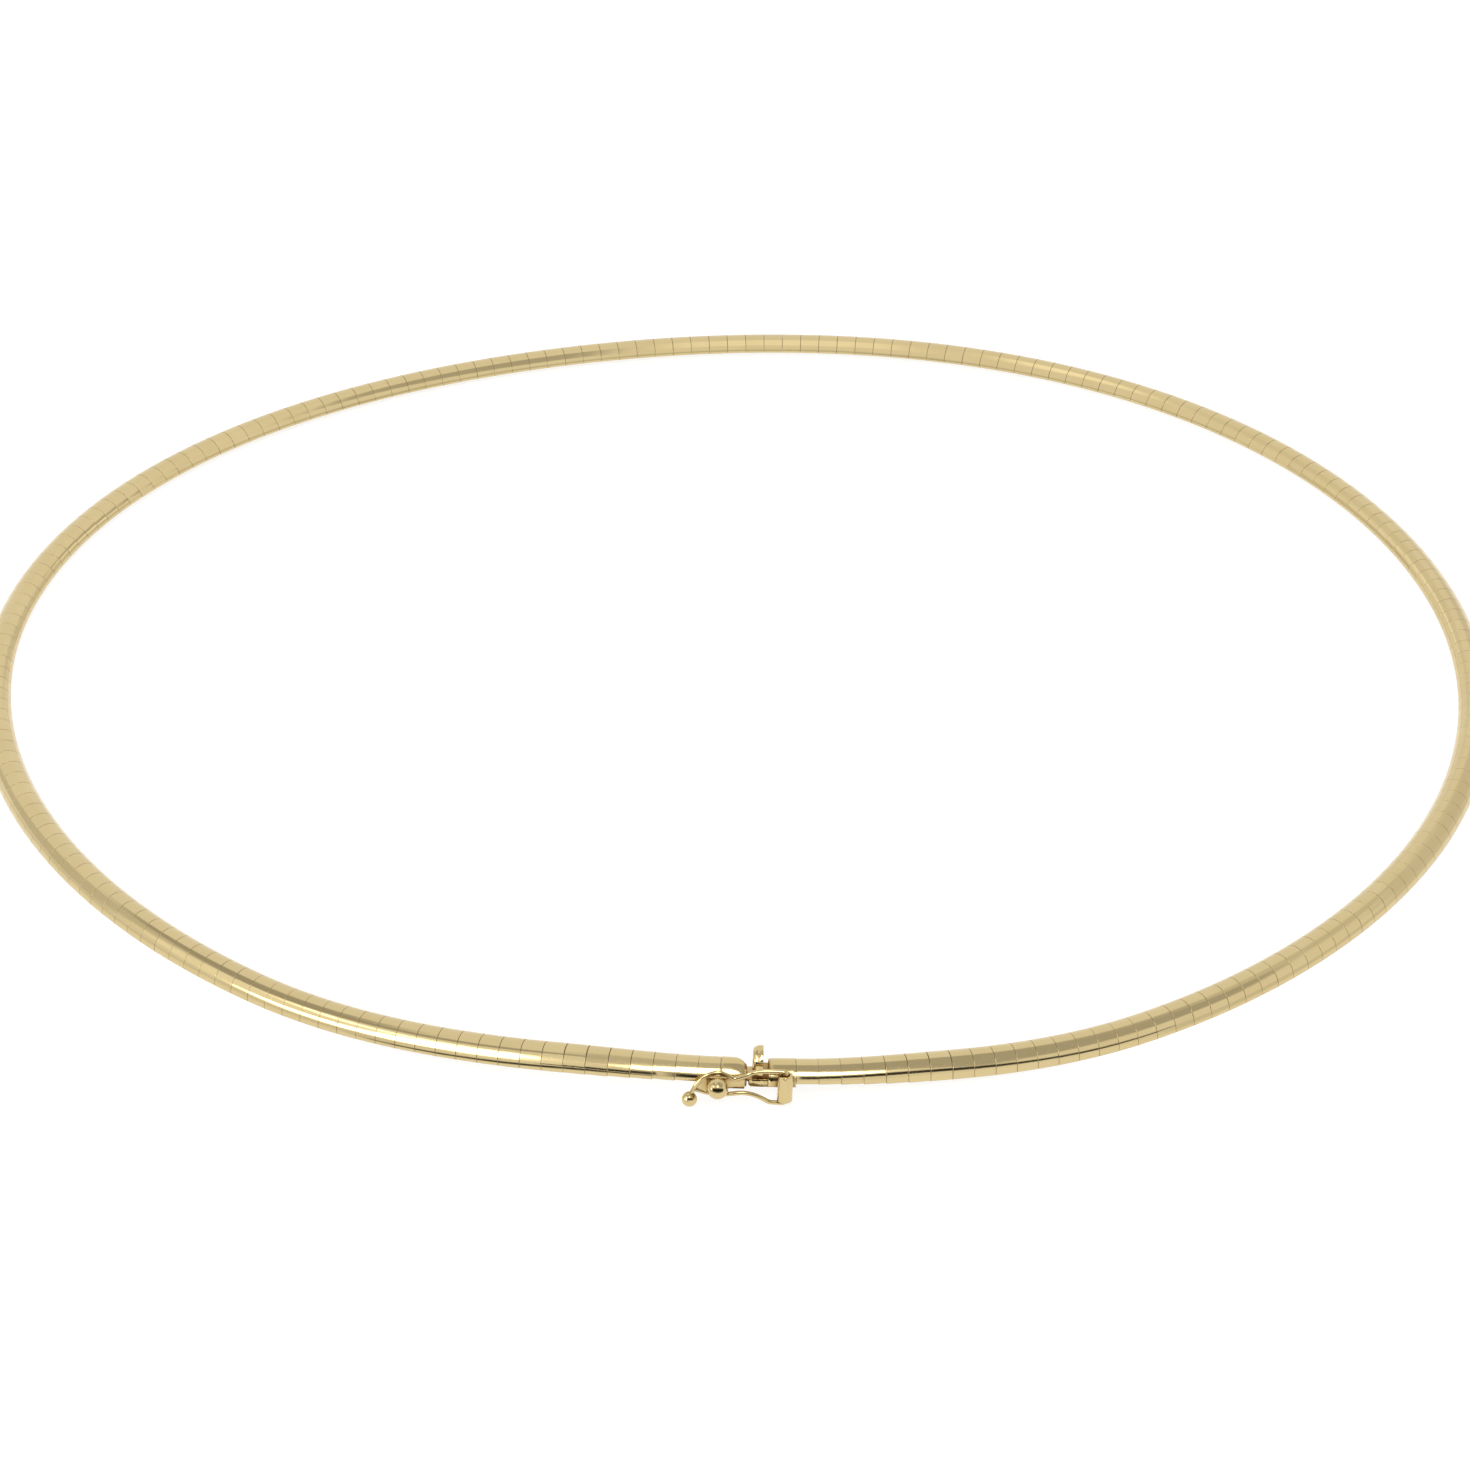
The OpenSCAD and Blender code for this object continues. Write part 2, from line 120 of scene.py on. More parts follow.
@dataclass
class LyingLoop:
    """The way along which the closed necklace lies, measured from the middle of the clasp."""

    length: float = 432.0
    clasp_at: float = -90.0
    waves: tuple[Wave, ...] = (
        Wave(2, 0.0324, -2.0), Wave(3, 0.0128, 43.0), Wave(4, 0.0032, 65.5), Wave(5, 0.0009, 2.0),
    )
    shift: Point2 = (0.559635, 1.77818)
    lean: float = 12.0
    clasp_lean: float = -5.0
    rise: float = 2.09646
    rise_run: float = 42.0
    lean_run: float = 14.0
    top_at: float = -5.85
    box_far: float = 3.25
    tongue_far: float = 3.1
    edge: float = 1.43
    sleeve_gap: float = 0.12
    sleeves: int = 220
    mean_r: float = field(init=False)
    pitch: float = field(init=False)
    clasp_turn: float = field(init=False)
    angles: list[float] = field(init=False)

    def __post_init__(self) -> None:
        """Works out the radius, the pitch and the polar angles of the joints and of the sleeves' middles."""
        turns = [i + 0.5 for i in range(360)]
        self.mean_r = self.length / math.radians(sum(self.unit_speed(a) for a in turns))
        self.clasp_turn = self.clasp_at - self.normal_at(self.clasp_at)
        run = self.length - self.box_far - self.tongue_far - self.sleeve_gap
        self.pitch = run / self.sleeves
        angle = self.onward(self.clasp_at, self.run_start)
        self.angles = [angle]
        for _ in range(2 * self.sleeves):
            angle = self.onward(angle, self.pitch / 2)
            self.angles.append(angle)

    @property
    def run_start(self) -> float:
        """Way along the loop at which the row of sleeves starts."""
        return self.box_far + self.sleeve_gap / 2

    def wave(self, a: float) -> float:
        """Radius at polar angle a, as a share of the mean radius."""
        return 1 + sum(w.share * math.cos(math.radians(w.count * (a - w.crest))) for w in self.waves)

    def wave_slope(self, a: float) -> float:
        """Change of that share for a radian of turn."""
        return -sum(w.count * w.share * math.sin(math.radians(w.count * (a - w.crest))) for w in self.waves)

    def unit_speed(self, a: float) -> float:
        """Length of loop for a radian of turn, on a mean radius of 1."""
        return math.hypot(self.wave(a), self.wave_slope(a))

    def normal_at(self, a: float) -> float:
        """Direction of the outward normal at polar angle a, in degrees."""
        return a - math.degrees(math.atan2(self.wave_slope(a), self.wave(a)))

    def onward(self, a: float, d: float) -> float:
        """Polar angle a short way d further along the loop."""
        half = math.degrees(d / self.mean_r / self.unit_speed(a)) / 2
        return a + math.degrees(d / self.mean_r / self.unit_speed(a + half))

    def place(self, a: float) -> Point2:
        """Point of the loop at polar angle a, seen from above.

        Args:
            a: Polar angle in degrees.

        Returns:
            The point (x, y) in millimetres.
        """
        r = self.mean_r * self.wave(a)
        turn = math.radians(a + self.clasp_turn)
        return r * math.cos(turn) + self.shift[0], r * math.sin(turn) + self.shift[1]

    def bend_radius(self) -> float:
        """Radius of the loop at the clasp.

        Returns:
            The radius in millimetres.
        """
        a = self.clasp_at
        turn = math.radians(self.normal_at(a + 0.5) - self.normal_at(a - 0.5))
        return self.mean_r * self.unit_speed(a) * math.radians(1) / turn

    def apart(self, s: float, t: float) -> float:
        """Shorter way along the loop from s to t."""
        return min(abs(s - t), abs(s - t - self.length))

    def lean_at(self, s: float) -> float:
        """How far the outer edge tips down at s, in degrees."""
        share = (self.apart(s, 0) - self.box_far) / self.lean_run
        return self.clasp_lean + (self.lean - self.clasp_lean) * eased(share)

    def height_at(self, s: float) -> float:
        """Height of the middle of the band's underside at s."""
        rise = self.rise * (1 - eased(self.apart(s, self.top_at) / self.rise_run))
        return rise + self.edge * math.sin(math.radians(self.lean_at(s)))

    def slope_at(self, s: float) -> float:
        """How steeply the band climbs at s, in degrees."""
        half = self.pitch / 2
        return math.degrees(math.atan((self.height_at(s + half) - self.height_at(s - half)) / self.pitch))

    def frame_at(self, a: float, s: float) -> Matrix:
        """Frame of the band at a place: x out of the loop, y along it, z up, without the lean.

        Args:
            a: Polar angle of the place.
            s: Its way along the loop.

        Returns:
            The matrix from that frame to the frame of the CAD, in millimetres.
        """
        x, y = self.place(a)
        turn = math.radians(self.normal_at(a) + self.clasp_turn)
        move = Matrix.Translation((x, y, self.height_at(s)))
        return move @ Matrix.Rotation(turn, 4, "Z") @ Matrix.Rotation(math.radians(self.slope_at(s)), 4, "X")

    def clasp_frame(self) -> Matrix:
        """Frame of the closed clasp: x out of the loop, y along the band, z up, with the clasp's lean."""
        lean = Matrix.Rotation(math.radians(self.clasp_lean), 4, "Y")
        return self.frame_at(self.clasp_at, 0.0) @ lean


# Shader node groups


@dataclass
class Sockets:
    """Shorthand for making and linking the nodes of one tree."""

    tree: bpy.types.NodeTree

    def add(self, kind: str, **values: object) -> bpy.types.Node:
        """Adds a node and sets its plain properties.

        Args:
            kind: Blender's name of the node's type.
            values: Properties of the node by name.

        Returns:
            The new node.
        """
        node = self.tree.nodes.new(kind)
        for name, value in values.items():
            setattr(node, name, value)
        return node

    def give(self, socket: bpy.types.NodeSocket, value: object) -> None:
        """Sets an input's value, or links it where the value is a socket.

        Args:
            socket: The input.
            value: A number, a colour or another node's output.
        """
        if isinstance(value, bpy.types.NodeSocket):
            self.tree.links.new(value, socket)
        else:
            socket.default_value = value

    def put(self, node: bpy.types.Node, **values: object) -> bpy.types.Node:
        """Gives inputs of a node their values, with underscores for the spaces in their names.

        Args:
            node: The node.
            values: Its inputs by name.

        Returns:
            The same node.
        """
        for name, value in values.items():
            self.give(node.inputs[name.replace("_", " ")], value)
        return node

    def math(self, what: str, *inputs: object, clamp: bool = False) -> bpy.types.NodeSocket:
        """One arithmetic step on numbers or sockets.

        Args:
            what: Operation of the Math node.
            inputs: Its numbers or sockets in order.
            clamp: Whether the result is held between 0 and 1.

        Returns:
            The result's socket.
        """
        node = self.add("ShaderNodeMath", operation=what, use_clamp=clamp)
        for socket, value in zip(node.inputs, inputs):
            self.give(socket, value)
        return node.outputs[0]

    def blend(self, share: object, first: object, second: object) -> bpy.types.NodeSocket:
        """Colour between two colours, by a share.

        Args:
            share: How much of the second colour, from 0 to 1.
            first: Colour at 0.
            second: Colour at 1.

        Returns:
            The colour's socket.
        """
        node = self.add("ShaderNodeMix", data_type="RGBA")
        for index, value in ((0, share), (6, first), (7, second)):
            self.give(node.inputs[index], value)
        return node.outputs[2]

    def noise(
        self, where: bpy.types.NodeSocket, scale: object, detail: float, rough: float = 0.5
    ) -> bpy.types.NodeSocket:
        """Value of a noise texture at a place.

        Args:
            where: Place at which it is read.
            scale: How fine it is.
            detail: Number of finer layers.
            rough: How strong the finer layers are.

        Returns:
            The value's socket.
        """
        node = self.add("ShaderNodeTexNoise")
        self.put(node, Vector=where, Scale=scale, Detail=detail, Roughness=rough)
        return node.outputs["Fac"]

    def span(
        self, value: object, low: float, high: float, to_low: float = 0.0, to_high: float = 1.0
    ) -> bpy.types.NodeSocket:
        """Moves a value from one range to another and clamps it there.

        Args:
            value: The value.
            low: Low end of its range.
            high: High end of its range.
            to_low: Result at the low end.
            to_high: Result at the high end.

        Returns:
            The result's socket.
        """
        node = self.add("ShaderNodeMapRange", clamp=True)
        for socket, number in zip(node.inputs, (value, low, high, to_low, to_high)):
            self.give(socket, number)
        return node.outputs[0]


class EffectGroup:
    """A shader effect that several finishes share, built once and placed in each with its own values."""

    name = "effect"
    inputs: tuple[tuple[str, str, object], ...] = ()
    outputs: tuple[tuple[str, str], ...] = ()

    def build(self) -> bpy.types.NodeTree:
        """Makes the group at its first use, and finds it again later.

        Returns:
            The group's node tree.
        """
        known = bpy.data.node_groups.get(self.name)
        if known:
            return known
        tree = bpy.data.node_groups.new(self.name, "ShaderNodeTree")
        for name, kind, value in self.inputs:
            tree.interface.new_socket(name, in_out="INPUT", socket_type=kind).default_value = value
        for name, kind in self.outputs:
            tree.interface.new_socket(name, in_out="OUTPUT", socket_type=kind)
        sockets = Sockets(tree)
        self.fill(sockets, sockets.add("NodeGroupInput").outputs, sockets.add("NodeGroupOutput").inputs)
        return tree

    def fill(self, sockets: Sockets, given: bpy.types.NodeInputs, out: bpy.types.NodeInputs) -> None:
        """Makes the group's own nodes between its inputs and outputs."""
        raise NotImplementedError

    def place(self, sockets: Sockets, **values: object) -> bpy.types.Node:
        """Places the group in a material, with its own values for the inputs."""
        node = sockets.add("ShaderNodeGroup", node_tree=self.build())
        return sockets.put(node, **values)


class FineScratches(EffectGroup):
    """Hair-fine lines that polishing leaves, all in one direction, with a few deeper ones across them."""

    name = "fine_scratches"
    inputs = (
        ("Scale", "NodeSocketFloat", 9000.0),
        ("Stretch", "NodeSocketFloat", 0.04),
        ("Turn", "NodeSocketFloat", 0.0),
    )
    outputs = (("Height", "NodeSocketFloat"),)
    cross_turn = 1.1
    cross_depth = 0.5

    def fill(self, sockets: Sockets, given: bpy.types.NodeInputs, out: bpy.types.NodeInputs) -> None:
        """Two stretched noises, one of them turned across the other.

        Args:
            sockets: The group's own sockets.
            given: The group's inputs.
            out: The group's outputs.
        """
        where = sockets.add("ShaderNodeTexCoord").outputs["Object"]
        squeeze = sockets.add("ShaderNodeCombineXYZ")
        sockets.put(squeeze, X=given["Stretch"], Y=1.0, Z=1.0)
        turn = sockets.add("ShaderNodeVectorRotate", rotation_type="Z_AXIS")
        sockets.put(turn, Vector=where, Angle=given["Turn"])
        lines = sockets.add("ShaderNodeVectorMath", operation="MULTIPLY")
        sockets.give(lines.inputs[0], turn.outputs[0])
        sockets.give(lines.inputs[1], squeeze.outputs[0])
        fine = sockets.noise(lines.outputs[0], given["Scale"], 2.0, 0.6)
        cross = sockets.add("ShaderNodeVectorRotate", rotation_type="Z_AXIS")
        sockets.put(cross, Vector=lines.outputs[0], Angle=self.cross_turn)
        deep = sockets.span(sockets.noise(cross.outputs[0], given["Scale"], 1.0), 0.66, 0.72)
        height = sockets.math("SUBTRACT", fine, sockets.math("MULTIPLY", deep, self.cross_depth))
        sockets.give(out["Height"], height)


class HandledTone(EffectGroup):
    """Soft cloudiness of gold that has been worn and wiped, in patches a little duller or warmer."""

    name = "handled_tone"
    inputs = (("Scale", "NodeSocketFloat", 220.0), ("Contrast", "NodeSocketFloat", 1.0))
    outputs = (("Mask", "NodeSocketFloat"), ("Specks", "NodeSocketFloat"))
    specks_finer = 14.0

    def fill(self, sockets: Sockets, given: bpy.types.NodeInputs, out: bpy.types.NodeInputs) -> None:
        """A wide noise for the patches and a fine one for specks.

        Args:
            sockets: The group's own sockets.
            given: The group's inputs.
            out: The group's outputs.
        """
        where = sockets.add("ShaderNodeTexCoord").outputs["Object"]
        wide = sockets.noise(where, given["Scale"], 3.0, 0.55)
        centred = sockets.math("MULTIPLY", sockets.math("SUBTRACT", wide, 0.5), given["Contrast"])
        sockets.give(out["Mask"], sockets.math("ADD", centred, 0.5, clamp=True))
        specks = sockets.noise(where, sockets.math("MULTIPLY", given["Scale"], self.specks_finer), 2.0)
        sockets.give(out["Specks"], sockets.span(specks, 0.62, 0.74))


class PlateShade(EffectGroup):
    """Reads what the mesh stores for each sleeve: its own tone, and how near a point is to the joint."""

    name = "plate_shade"
    inputs = (("Reach", "NodeSocketFloat", 0.1),)
    outputs = (("Tone", "NodeSocketFloat"), ("Joint", "NodeSocketFloat"))

    def fill(self, sockets: Sockets, given: bpy.types.NodeInputs, out: bpy.types.NodeInputs) -> None:
        """Two attributes, the second one drawn in to the reach of the dirt in a joint.

        Args:
            sockets: The group's own sockets.
            given: The group's inputs.
            out: The group's outputs.
        """
        tone = sockets.add("ShaderNodeAttribute", attribute_name="plate_tone")
        sockets.give(out["Tone"], tone.outputs["Fac"])
        near = sockets.add("ShaderNodeAttribute", attribute_name="joint_near")
        start = sockets.math("SUBTRACT", 1.0, given["Reach"])
        past = sockets.math("SUBTRACT", near.outputs["Fac"], start)
        share = sockets.math("DIVIDE", past, given["Reach"], clamp=True)
        sockets.give(out["Joint"], share)


class CornerShade(EffectGroup):
    """Reads how shut in each point of a piece is, as painted shade in its corners."""

    name = "corner_shade"
    inputs = (("Strength", "NodeSocketFloat", 1.0),)
    outputs = (("PaintedShade", "NodeSocketFloat"),)
    patches = 1500.0

    def fill(self, sockets: Sockets, given: bpy.types.NodeInputs, out: bpy.types.NodeInputs) -> None:
        """One attribute, broken up a little by noise.

        Args:
            sockets: The group's own sockets.
            given: The group's inputs.
            out: The group's outputs.
        """
        shut = sockets.add("ShaderNodeAttribute", attribute_name="shut_in")
        where = sockets.add("ShaderNodeTexCoord").outputs["Object"]
        patchy = sockets.span(sockets.noise(where, self.patches, 2.0), 0.3, 0.7, 0.8, 1.1)
        # Painted shade: occlusion broken up by noise, scaled by the strength
        painted_shade = sockets.math("MULTIPLY", shut.outputs["Fac"], patchy)
        sockets.give(out["PaintedShade"], sockets.math("MULTIPLY", painted_shade, given["Strength"], clamp=True))


# Finishes


def blank_material(name: str) -> tuple[bpy.types.Material, Sockets]:
    """A new material with its sockets.

    Args:
        name: Name of the material.

    Returns:
        The material and its sockets.
    """
    material = bpy.data.materials.new(name)
    material.use_nodes = True
    return material, Sockets(material.node_tree)


@dataclass(frozen=True)
class GoldFinish:
    """Yellow gold, polished and then worn: its tones, its gloss and how much the lines of the polish show."""

    name: str
    colour: Colour = (0.675, 0.545, 0.29, 1.0)
    warm: Colour = (0.645, 0.51, 0.255, 1.0)
    joint: Colour = (0.42, 0.3, 0.14, 1.0)
    # Colour of the painted shade in corners
    corner: Colour = (0.3, 0.17, 0.045, 1.0)
    roughness: float = 0.13
    dull: float = 0.07
    lines: float = 0.12
    line_scale: float = 9000.0
    stretch: float = 0.05
    plates: bool = False
    plate_spread: float = 0.03
    joint_reach: float = 0.03
    joint_rough: float = 0.3
    # Strength of the painted shade in corners, 0 leaves it out
    corners: float = 0.0
    corner_rough: float = 0.15
    tone_scale: float = 260.0
    tone_contrast: float = 1.6
    speck_rough: float = 0.05
    scratch_depth: float = 0.00001

    @staticmethod
    def clasp(part: str, roughness: float, dull: float, lines: float, corners: float) -> "GoldFinish":
        """The clasp's gold, painted darker than the sleeves' as painted shade, for one of its parts.

        Args:
            part: Name of the part.
            roughness: Least roughness.
            dull: How much rougher the worn patches are.
            lines: How much the lines of the polish show.
            corners: How strongly corners are darkened with painted shade.

        Returns:
            The finish.
        """
        # Painted shade: the sleeves' gold made darker for the clasp's pieces
        gold = (0.64, 0.5, 0.245, 1.0)
        return GoldFinish(
            "polished_gold_" + part, colour=gold, roughness=roughness, dull=dull, lines=lines, corners=corners
        )

    def make(self) -> bpy.types.Material:
        """Builds the material.

        Returns:
            The material, with its colour, roughness and bump from its nodes.
        """
        material, sockets = blank_material(self.name)
        shader = material.node_tree.nodes["Principled BSDF"]
        tone = HandledTone().place(sockets, Scale=self.tone_scale, Contrast=self.tone_contrast)
        scratch = FineScratches().place(sockets, Scale=self.line_scale, Stretch=self.stretch)
        colour = sockets.blend(tone.outputs["Mask"], self.colour, self.warm)
        rough = sockets.span(tone.outputs["Mask"], 0.2, 0.8, self.roughness, self.roughness + self.dull)
        rough = sockets.math("ADD", rough, sockets.math("MULTIPLY", tone.outputs["Specks"], self.speck_rough))
        if self.plates:
            plate = PlateShade().place(sockets, Reach=self.joint_reach)
            light = sockets.span(plate.outputs["Tone"], 0.0, 1.0, 1.0 - self.plate_spread, 1.0)
            scaled = sockets.add("ShaderNodeMix", data_type="RGBA", blend_type="MULTIPLY")
            grey = sockets.add("ShaderNodeCombineColor")
            sockets.put(grey, Red=light, Green=light, Blue=light)
            scaled.inputs[0].default_value = 1.0
            sockets.give(scaled.inputs[6], colour)
            sockets.give(scaled.inputs[7], grey.outputs[0])
            colour = sockets.blend(plate.outputs["Joint"], scaled.outputs[2], self.joint)
            more = sockets.math("MULTIPLY", plate.outputs["Joint"], self.joint_rough)
            rough = sockets.math("ADD", rough, more)
        if self.corners:
            # Painted shade: corners blend towards the dark corner colour
            shade = CornerShade().place(sockets, Strength=self.corners)
            colour = sockets.blend(shade.outputs["PaintedShade"], colour, self.corner)
            more = sockets.math("MULTIPLY", shade.outputs["PaintedShade"], self.corner_rough)
            rough = sockets.math("ADD", rough, more)
        bump = sockets.add("ShaderNodeBump")
        sockets.put(bump, Strength=self.lines, Distance=self.scratch_depth, Height=scratch.outputs["Height"])
        sockets.put(shader, Metallic=1.0, Base_Color=colour, Roughness=rough, Normal=bump.outputs["Normal"])
        return material


@dataclass(frozen=True)
class PaleFloor:
    """The plain pale surface that the necklace lies on."""

    name: str = "pale_floor"
    colour: Colour = (0.9, 0.9, 0.9, 1.0)
    cool: Colour = (0.88, 0.88, 0.885, 1.0)
    glow: float = 0.8
    share: float = 0.3
    roughness: float = 0.9

    def make(self) -> bpy.types.Material:
        """Builds the material: mostly lit from within, like a light table, so that shadows stay faint.

        Returns:
            The material.
        """
        material, sockets = blank_material(self.name)
        shader = material.node_tree.nodes["Principled BSDF"]
        cloud = HandledTone().place(sockets, Scale=6.0, Contrast=0.1)
        base = sockets.blend(cloud.outputs["Mask"], self.colour, self.cool)
        dimmed = sockets.blend(self.share, (0.0, 0.0, 0.0, 1.0), base)
        sockets.put(shader, Base_Color=dimmed, Roughness=self.roughness, Specular_IOR_Level=0.0)
        shader.inputs["Emission Color"].default_value = (1.0, 1.0, 1.0, 1.0)
        shader.inputs["Emission Strength"].default_value = self.glow
        return material


@dataclass(frozen=True)
class TentCloth:
    """The lit cloth of the tent, as bright as its mesh says at each point."""

    name: str = "tent_cloth"
    one_sided: bool = False

    def make(self) -> bpy.types.Material:
        """Builds the material, which only gives off light and is clear from the back if it is one-sided.

        Returns:
            The material.
        """
        material, sockets = blank_material(self.name)
        material.node_tree.nodes.clear()
        stored = sockets.add("ShaderNodeAttribute", attribute_name="tent_light")
        glow = sockets.add("ShaderNodeEmission")
        sockets.put(glow, Color=stored.outputs["Color"], Strength=1.0)
        surface = glow.outputs[0]
        if self.one_sided:
            back = sockets.add("ShaderNodeNewGeometry").outputs["Backfacing"]
            either = sockets.add("ShaderNodeMixShader")
            clear = sockets.add("ShaderNodeBsdfTransparent").outputs[0]
            for socket, given in zip(either.inputs, (back, surface, clear)):
                sockets.give(socket, given)
            surface = either.outputs[0]
        end = sockets.add("ShaderNodeOutputMaterial")
        sockets.give(end.inputs["Surface"], surface)
        material.cycles.emission_sampling = "NONE"
        return material


# Meshes in millimetres


def placed(name: str, data: bpy.types.ID) -> bpy.types.Object:
    """Makes an object of a mesh or a camera and links it to the scene.

    Args:
        name: Name of the object.
        data: Its mesh or camera.

    Returns:
        The object.
    """
    obj = bpy.data.objects.new(name, data)
    bpy.context.scene.collection.objects.link(obj)
    return obj


def worked_mesh(obj: bpy.types.Object) -> bpy.types.Mesh:
    """The object's mesh as its modifiers leave it.

    Args:
        obj: The object.

    Returns:
        A new mesh.
    """
    graph = bpy.context.evaluated_depsgraph_get()
    graph.update()
    return bpy.data.meshes.new_from_object(obj.evaluated_get(graph), depsgraph=graph)


def grid_faces(rows: int, columns: int, flipped: bool = False) -> Faces:
    """Quads over rows of points.

    Args:
        rows: Number of rows.
        columns: Number of points in each.
        flipped: Whether the quads face the other way.

    Returns:
        The corners of the quads.
    """
    faces: Faces = []
    for i in range(rows - 1):
        for a in range(i * columns, (i + 1) * columns - 1):
            beside, ahead = a + 1, a + columns
            faces.append((a, ahead, ahead + 1, beside) if flipped else (a, beside, ahead + 1, ahead))
    return faces


def arc(centre: Point2, radius: float, start: float, end: float, steps: int) -> list[Point2]:
    """Points on an arc, both ends included.

    Args:
        centre: Centre of the arc.
        radius: Its radius.
        start: Angle of the first point in degrees.
        end: Angle of the last point in degrees.
        steps: Number of stretches between them.

    Returns:
        The points in order.
    """
    turns = [math.radians(start + (end - start) * i / steps) for i in range(steps + 1)]
    return [(centre[0] + radius * math.cos(t), centre[1] + radius * math.sin(t)) for t in turns]


def rounded(points: Sequence[Point2], radii: Sequence[float], steps: int = 8) -> list[Point2]:
    """Rounds the corners of a polygon.

    Args:
        points: Its corners in order.
        radii: Radius at each corner, 0 for a sharp one.
        steps: Number of stretches in each round corner.

    Returns:
        The rounded polygon's points.
    """
    out: list[Point2] = []
    for i, (corner, radius) in enumerate(zip(points, radii)):
        here, before, after = (Vector(p) for p in (corner, points[i - 1], points[(i + 1) % len(points)]))
        if radius <= 0:
            out.append((here.x, here.y))
            continue
        a, b = (before - here).normalized(), (after - here).normalized()
        half = a.angle(b) / 2
        reach = radius / math.tan(half)
        centre = here + (a + b).normalized() * (radius / math.sin(half))
        first, last = here + a * reach - centre, here + b * reach - centre
        turn = math.atan2(first.x * last.y - first.y * last.x, first.dot(last))
        for k in range(steps + 1):
            t = turn * k / steps
            x = first.x * math.cos(t) - first.y * math.sin(t)
            y = first.x * math.sin(t) + first.y * math.cos(t)
            out.append((centre.x + x, centre.y + y))
    return out


@dataclass
class Solid:
    """A closed body in millimetres, in the clasp's frame."""

    points: list[Point3]
    faces: Faces

    @staticmethod
    def rings(rings: Sequence[Sequence[Point3]], closed: bool = False) -> "Solid":
        """A skin over rings of equal count, capped at both ends unless the last ring meets the first.

        Args:
            rings: The rings in order.
            closed: Whether the last ring joins the first.

        Returns:
            The solid.
        """
        count, n = len(rings), len(rings[0])
        points = [p for ring in rings for p in ring]
        faces: Faces = []
        for i in range(count if closed else count - 1):
            j = (i + 1) % count
            for k in range(n):
                m = (k + 1) % n
                faces.append((i * n + k, i * n + m, j * n + m, j * n + k))
        if not closed:
            faces.append(tuple(reversed(range(n))))
            faces.append(tuple((count - 1) * n + k for k in range(n)))
        return Solid(points, faces)

    @staticmethod
    def extruded(outline: Sequence[Point2], across: Across, start: float, end: float) -> "Solid":
        """A prism.

        Args:
            outline: Its points, which are (s, v) for OUT, (u, v) for ALONG and (u, s) for UP.
            across: Direction of the extrusion.
            start: Place where it starts.
            end: Place where it ends.

        Returns:
            The solid.
        """
        order: dict[Across, Callable[[Point2, float], Point3]] = {
            Across.OUT: lambda p, t: (t, p[0], p[1]),
            Across.ALONG: lambda p, t: (p[0], t, p[1]),
            Across.UP: lambda p, t: (p[0], p[1], t),
        }
        return Solid.rings([[order[across](p, t) for p in outline] for t in (start, end)])

    @staticmethod
    def block(low: Point3, high: Point3) -> "Solid":
        """A plain box between two corners."""
        outline = [(low[0], low[1]), (high[0], low[1]), (high[0], high[1]), (low[0], high[1])]
        return Solid.extruded(outline, Across.UP, low[2], high[2])

    @staticmethod
    def turned(profile: Sequence[Point2], centre: Point3, across: Across, segments: int = 48) -> "Solid":
        """A body of revolution.

        Args:
            profile: Points (radius, height), from one end of the axis to the other or round a closed ring.
            centre: Point from which the heights count.
            across: Direction of the axis.
            segments: Number of stretches round it.

        Returns:
            The solid.
        """
        axes = {Across.OUT: (1, 2, 0), Across.ALONG: (2, 0, 1), Across.UP: (0, 1, 2)}[across]
        rings = []
        for k in range(segments):
            t = 2 * math.pi * k / segments
            ring = []
            for r, h in profile:
                p = [0.0, 0.0, 0.0]
                p[axes[0]], p[axes[1]], p[axes[2]] = r * math.cos(t), r * math.sin(t), h
                ring.append((p[0] + centre[0], p[1] + centre[1], p[2] + centre[2]))
            rings.append(ring)
        return Solid.rings(rings, closed=True)

    @staticmethod
    def ball(radius: float, centre: Point3, segments: int) -> "Solid":
        """A ball whose poles point out of the band.

        Args:
            radius: Its radius.
            centre: Its middle.
            segments: Number of stretches round its axis.

        Returns:
            The solid.
        """
        turns = [math.radians(t) for t in range(0, 181, 6)]
        profile = [(radius * math.sin(t), -radius * math.cos(t)) for t in turns]
        return Solid.turned(profile, centre, Across.OUT, segments)

    def mesh(self, name: str) -> bpy.types.Mesh:
        """The solid as a Blender mesh with outward normals, doubles merged.

        Args:
            name: Name of the mesh.

        Returns:
            The mesh, in millimetres.
        """
        data = bpy.data.meshes.new(name)
        data.from_pydata(self.points, [], self.faces)
        work = bmesh.new()
        work.from_mesh(data)
        bmesh.ops.remove_doubles(work, verts=work.verts, dist=1e-5)
        bmesh.ops.recalc_face_normals(work, faces=work.faces)
        work.to_mesh(data)
        work.free()
        return data


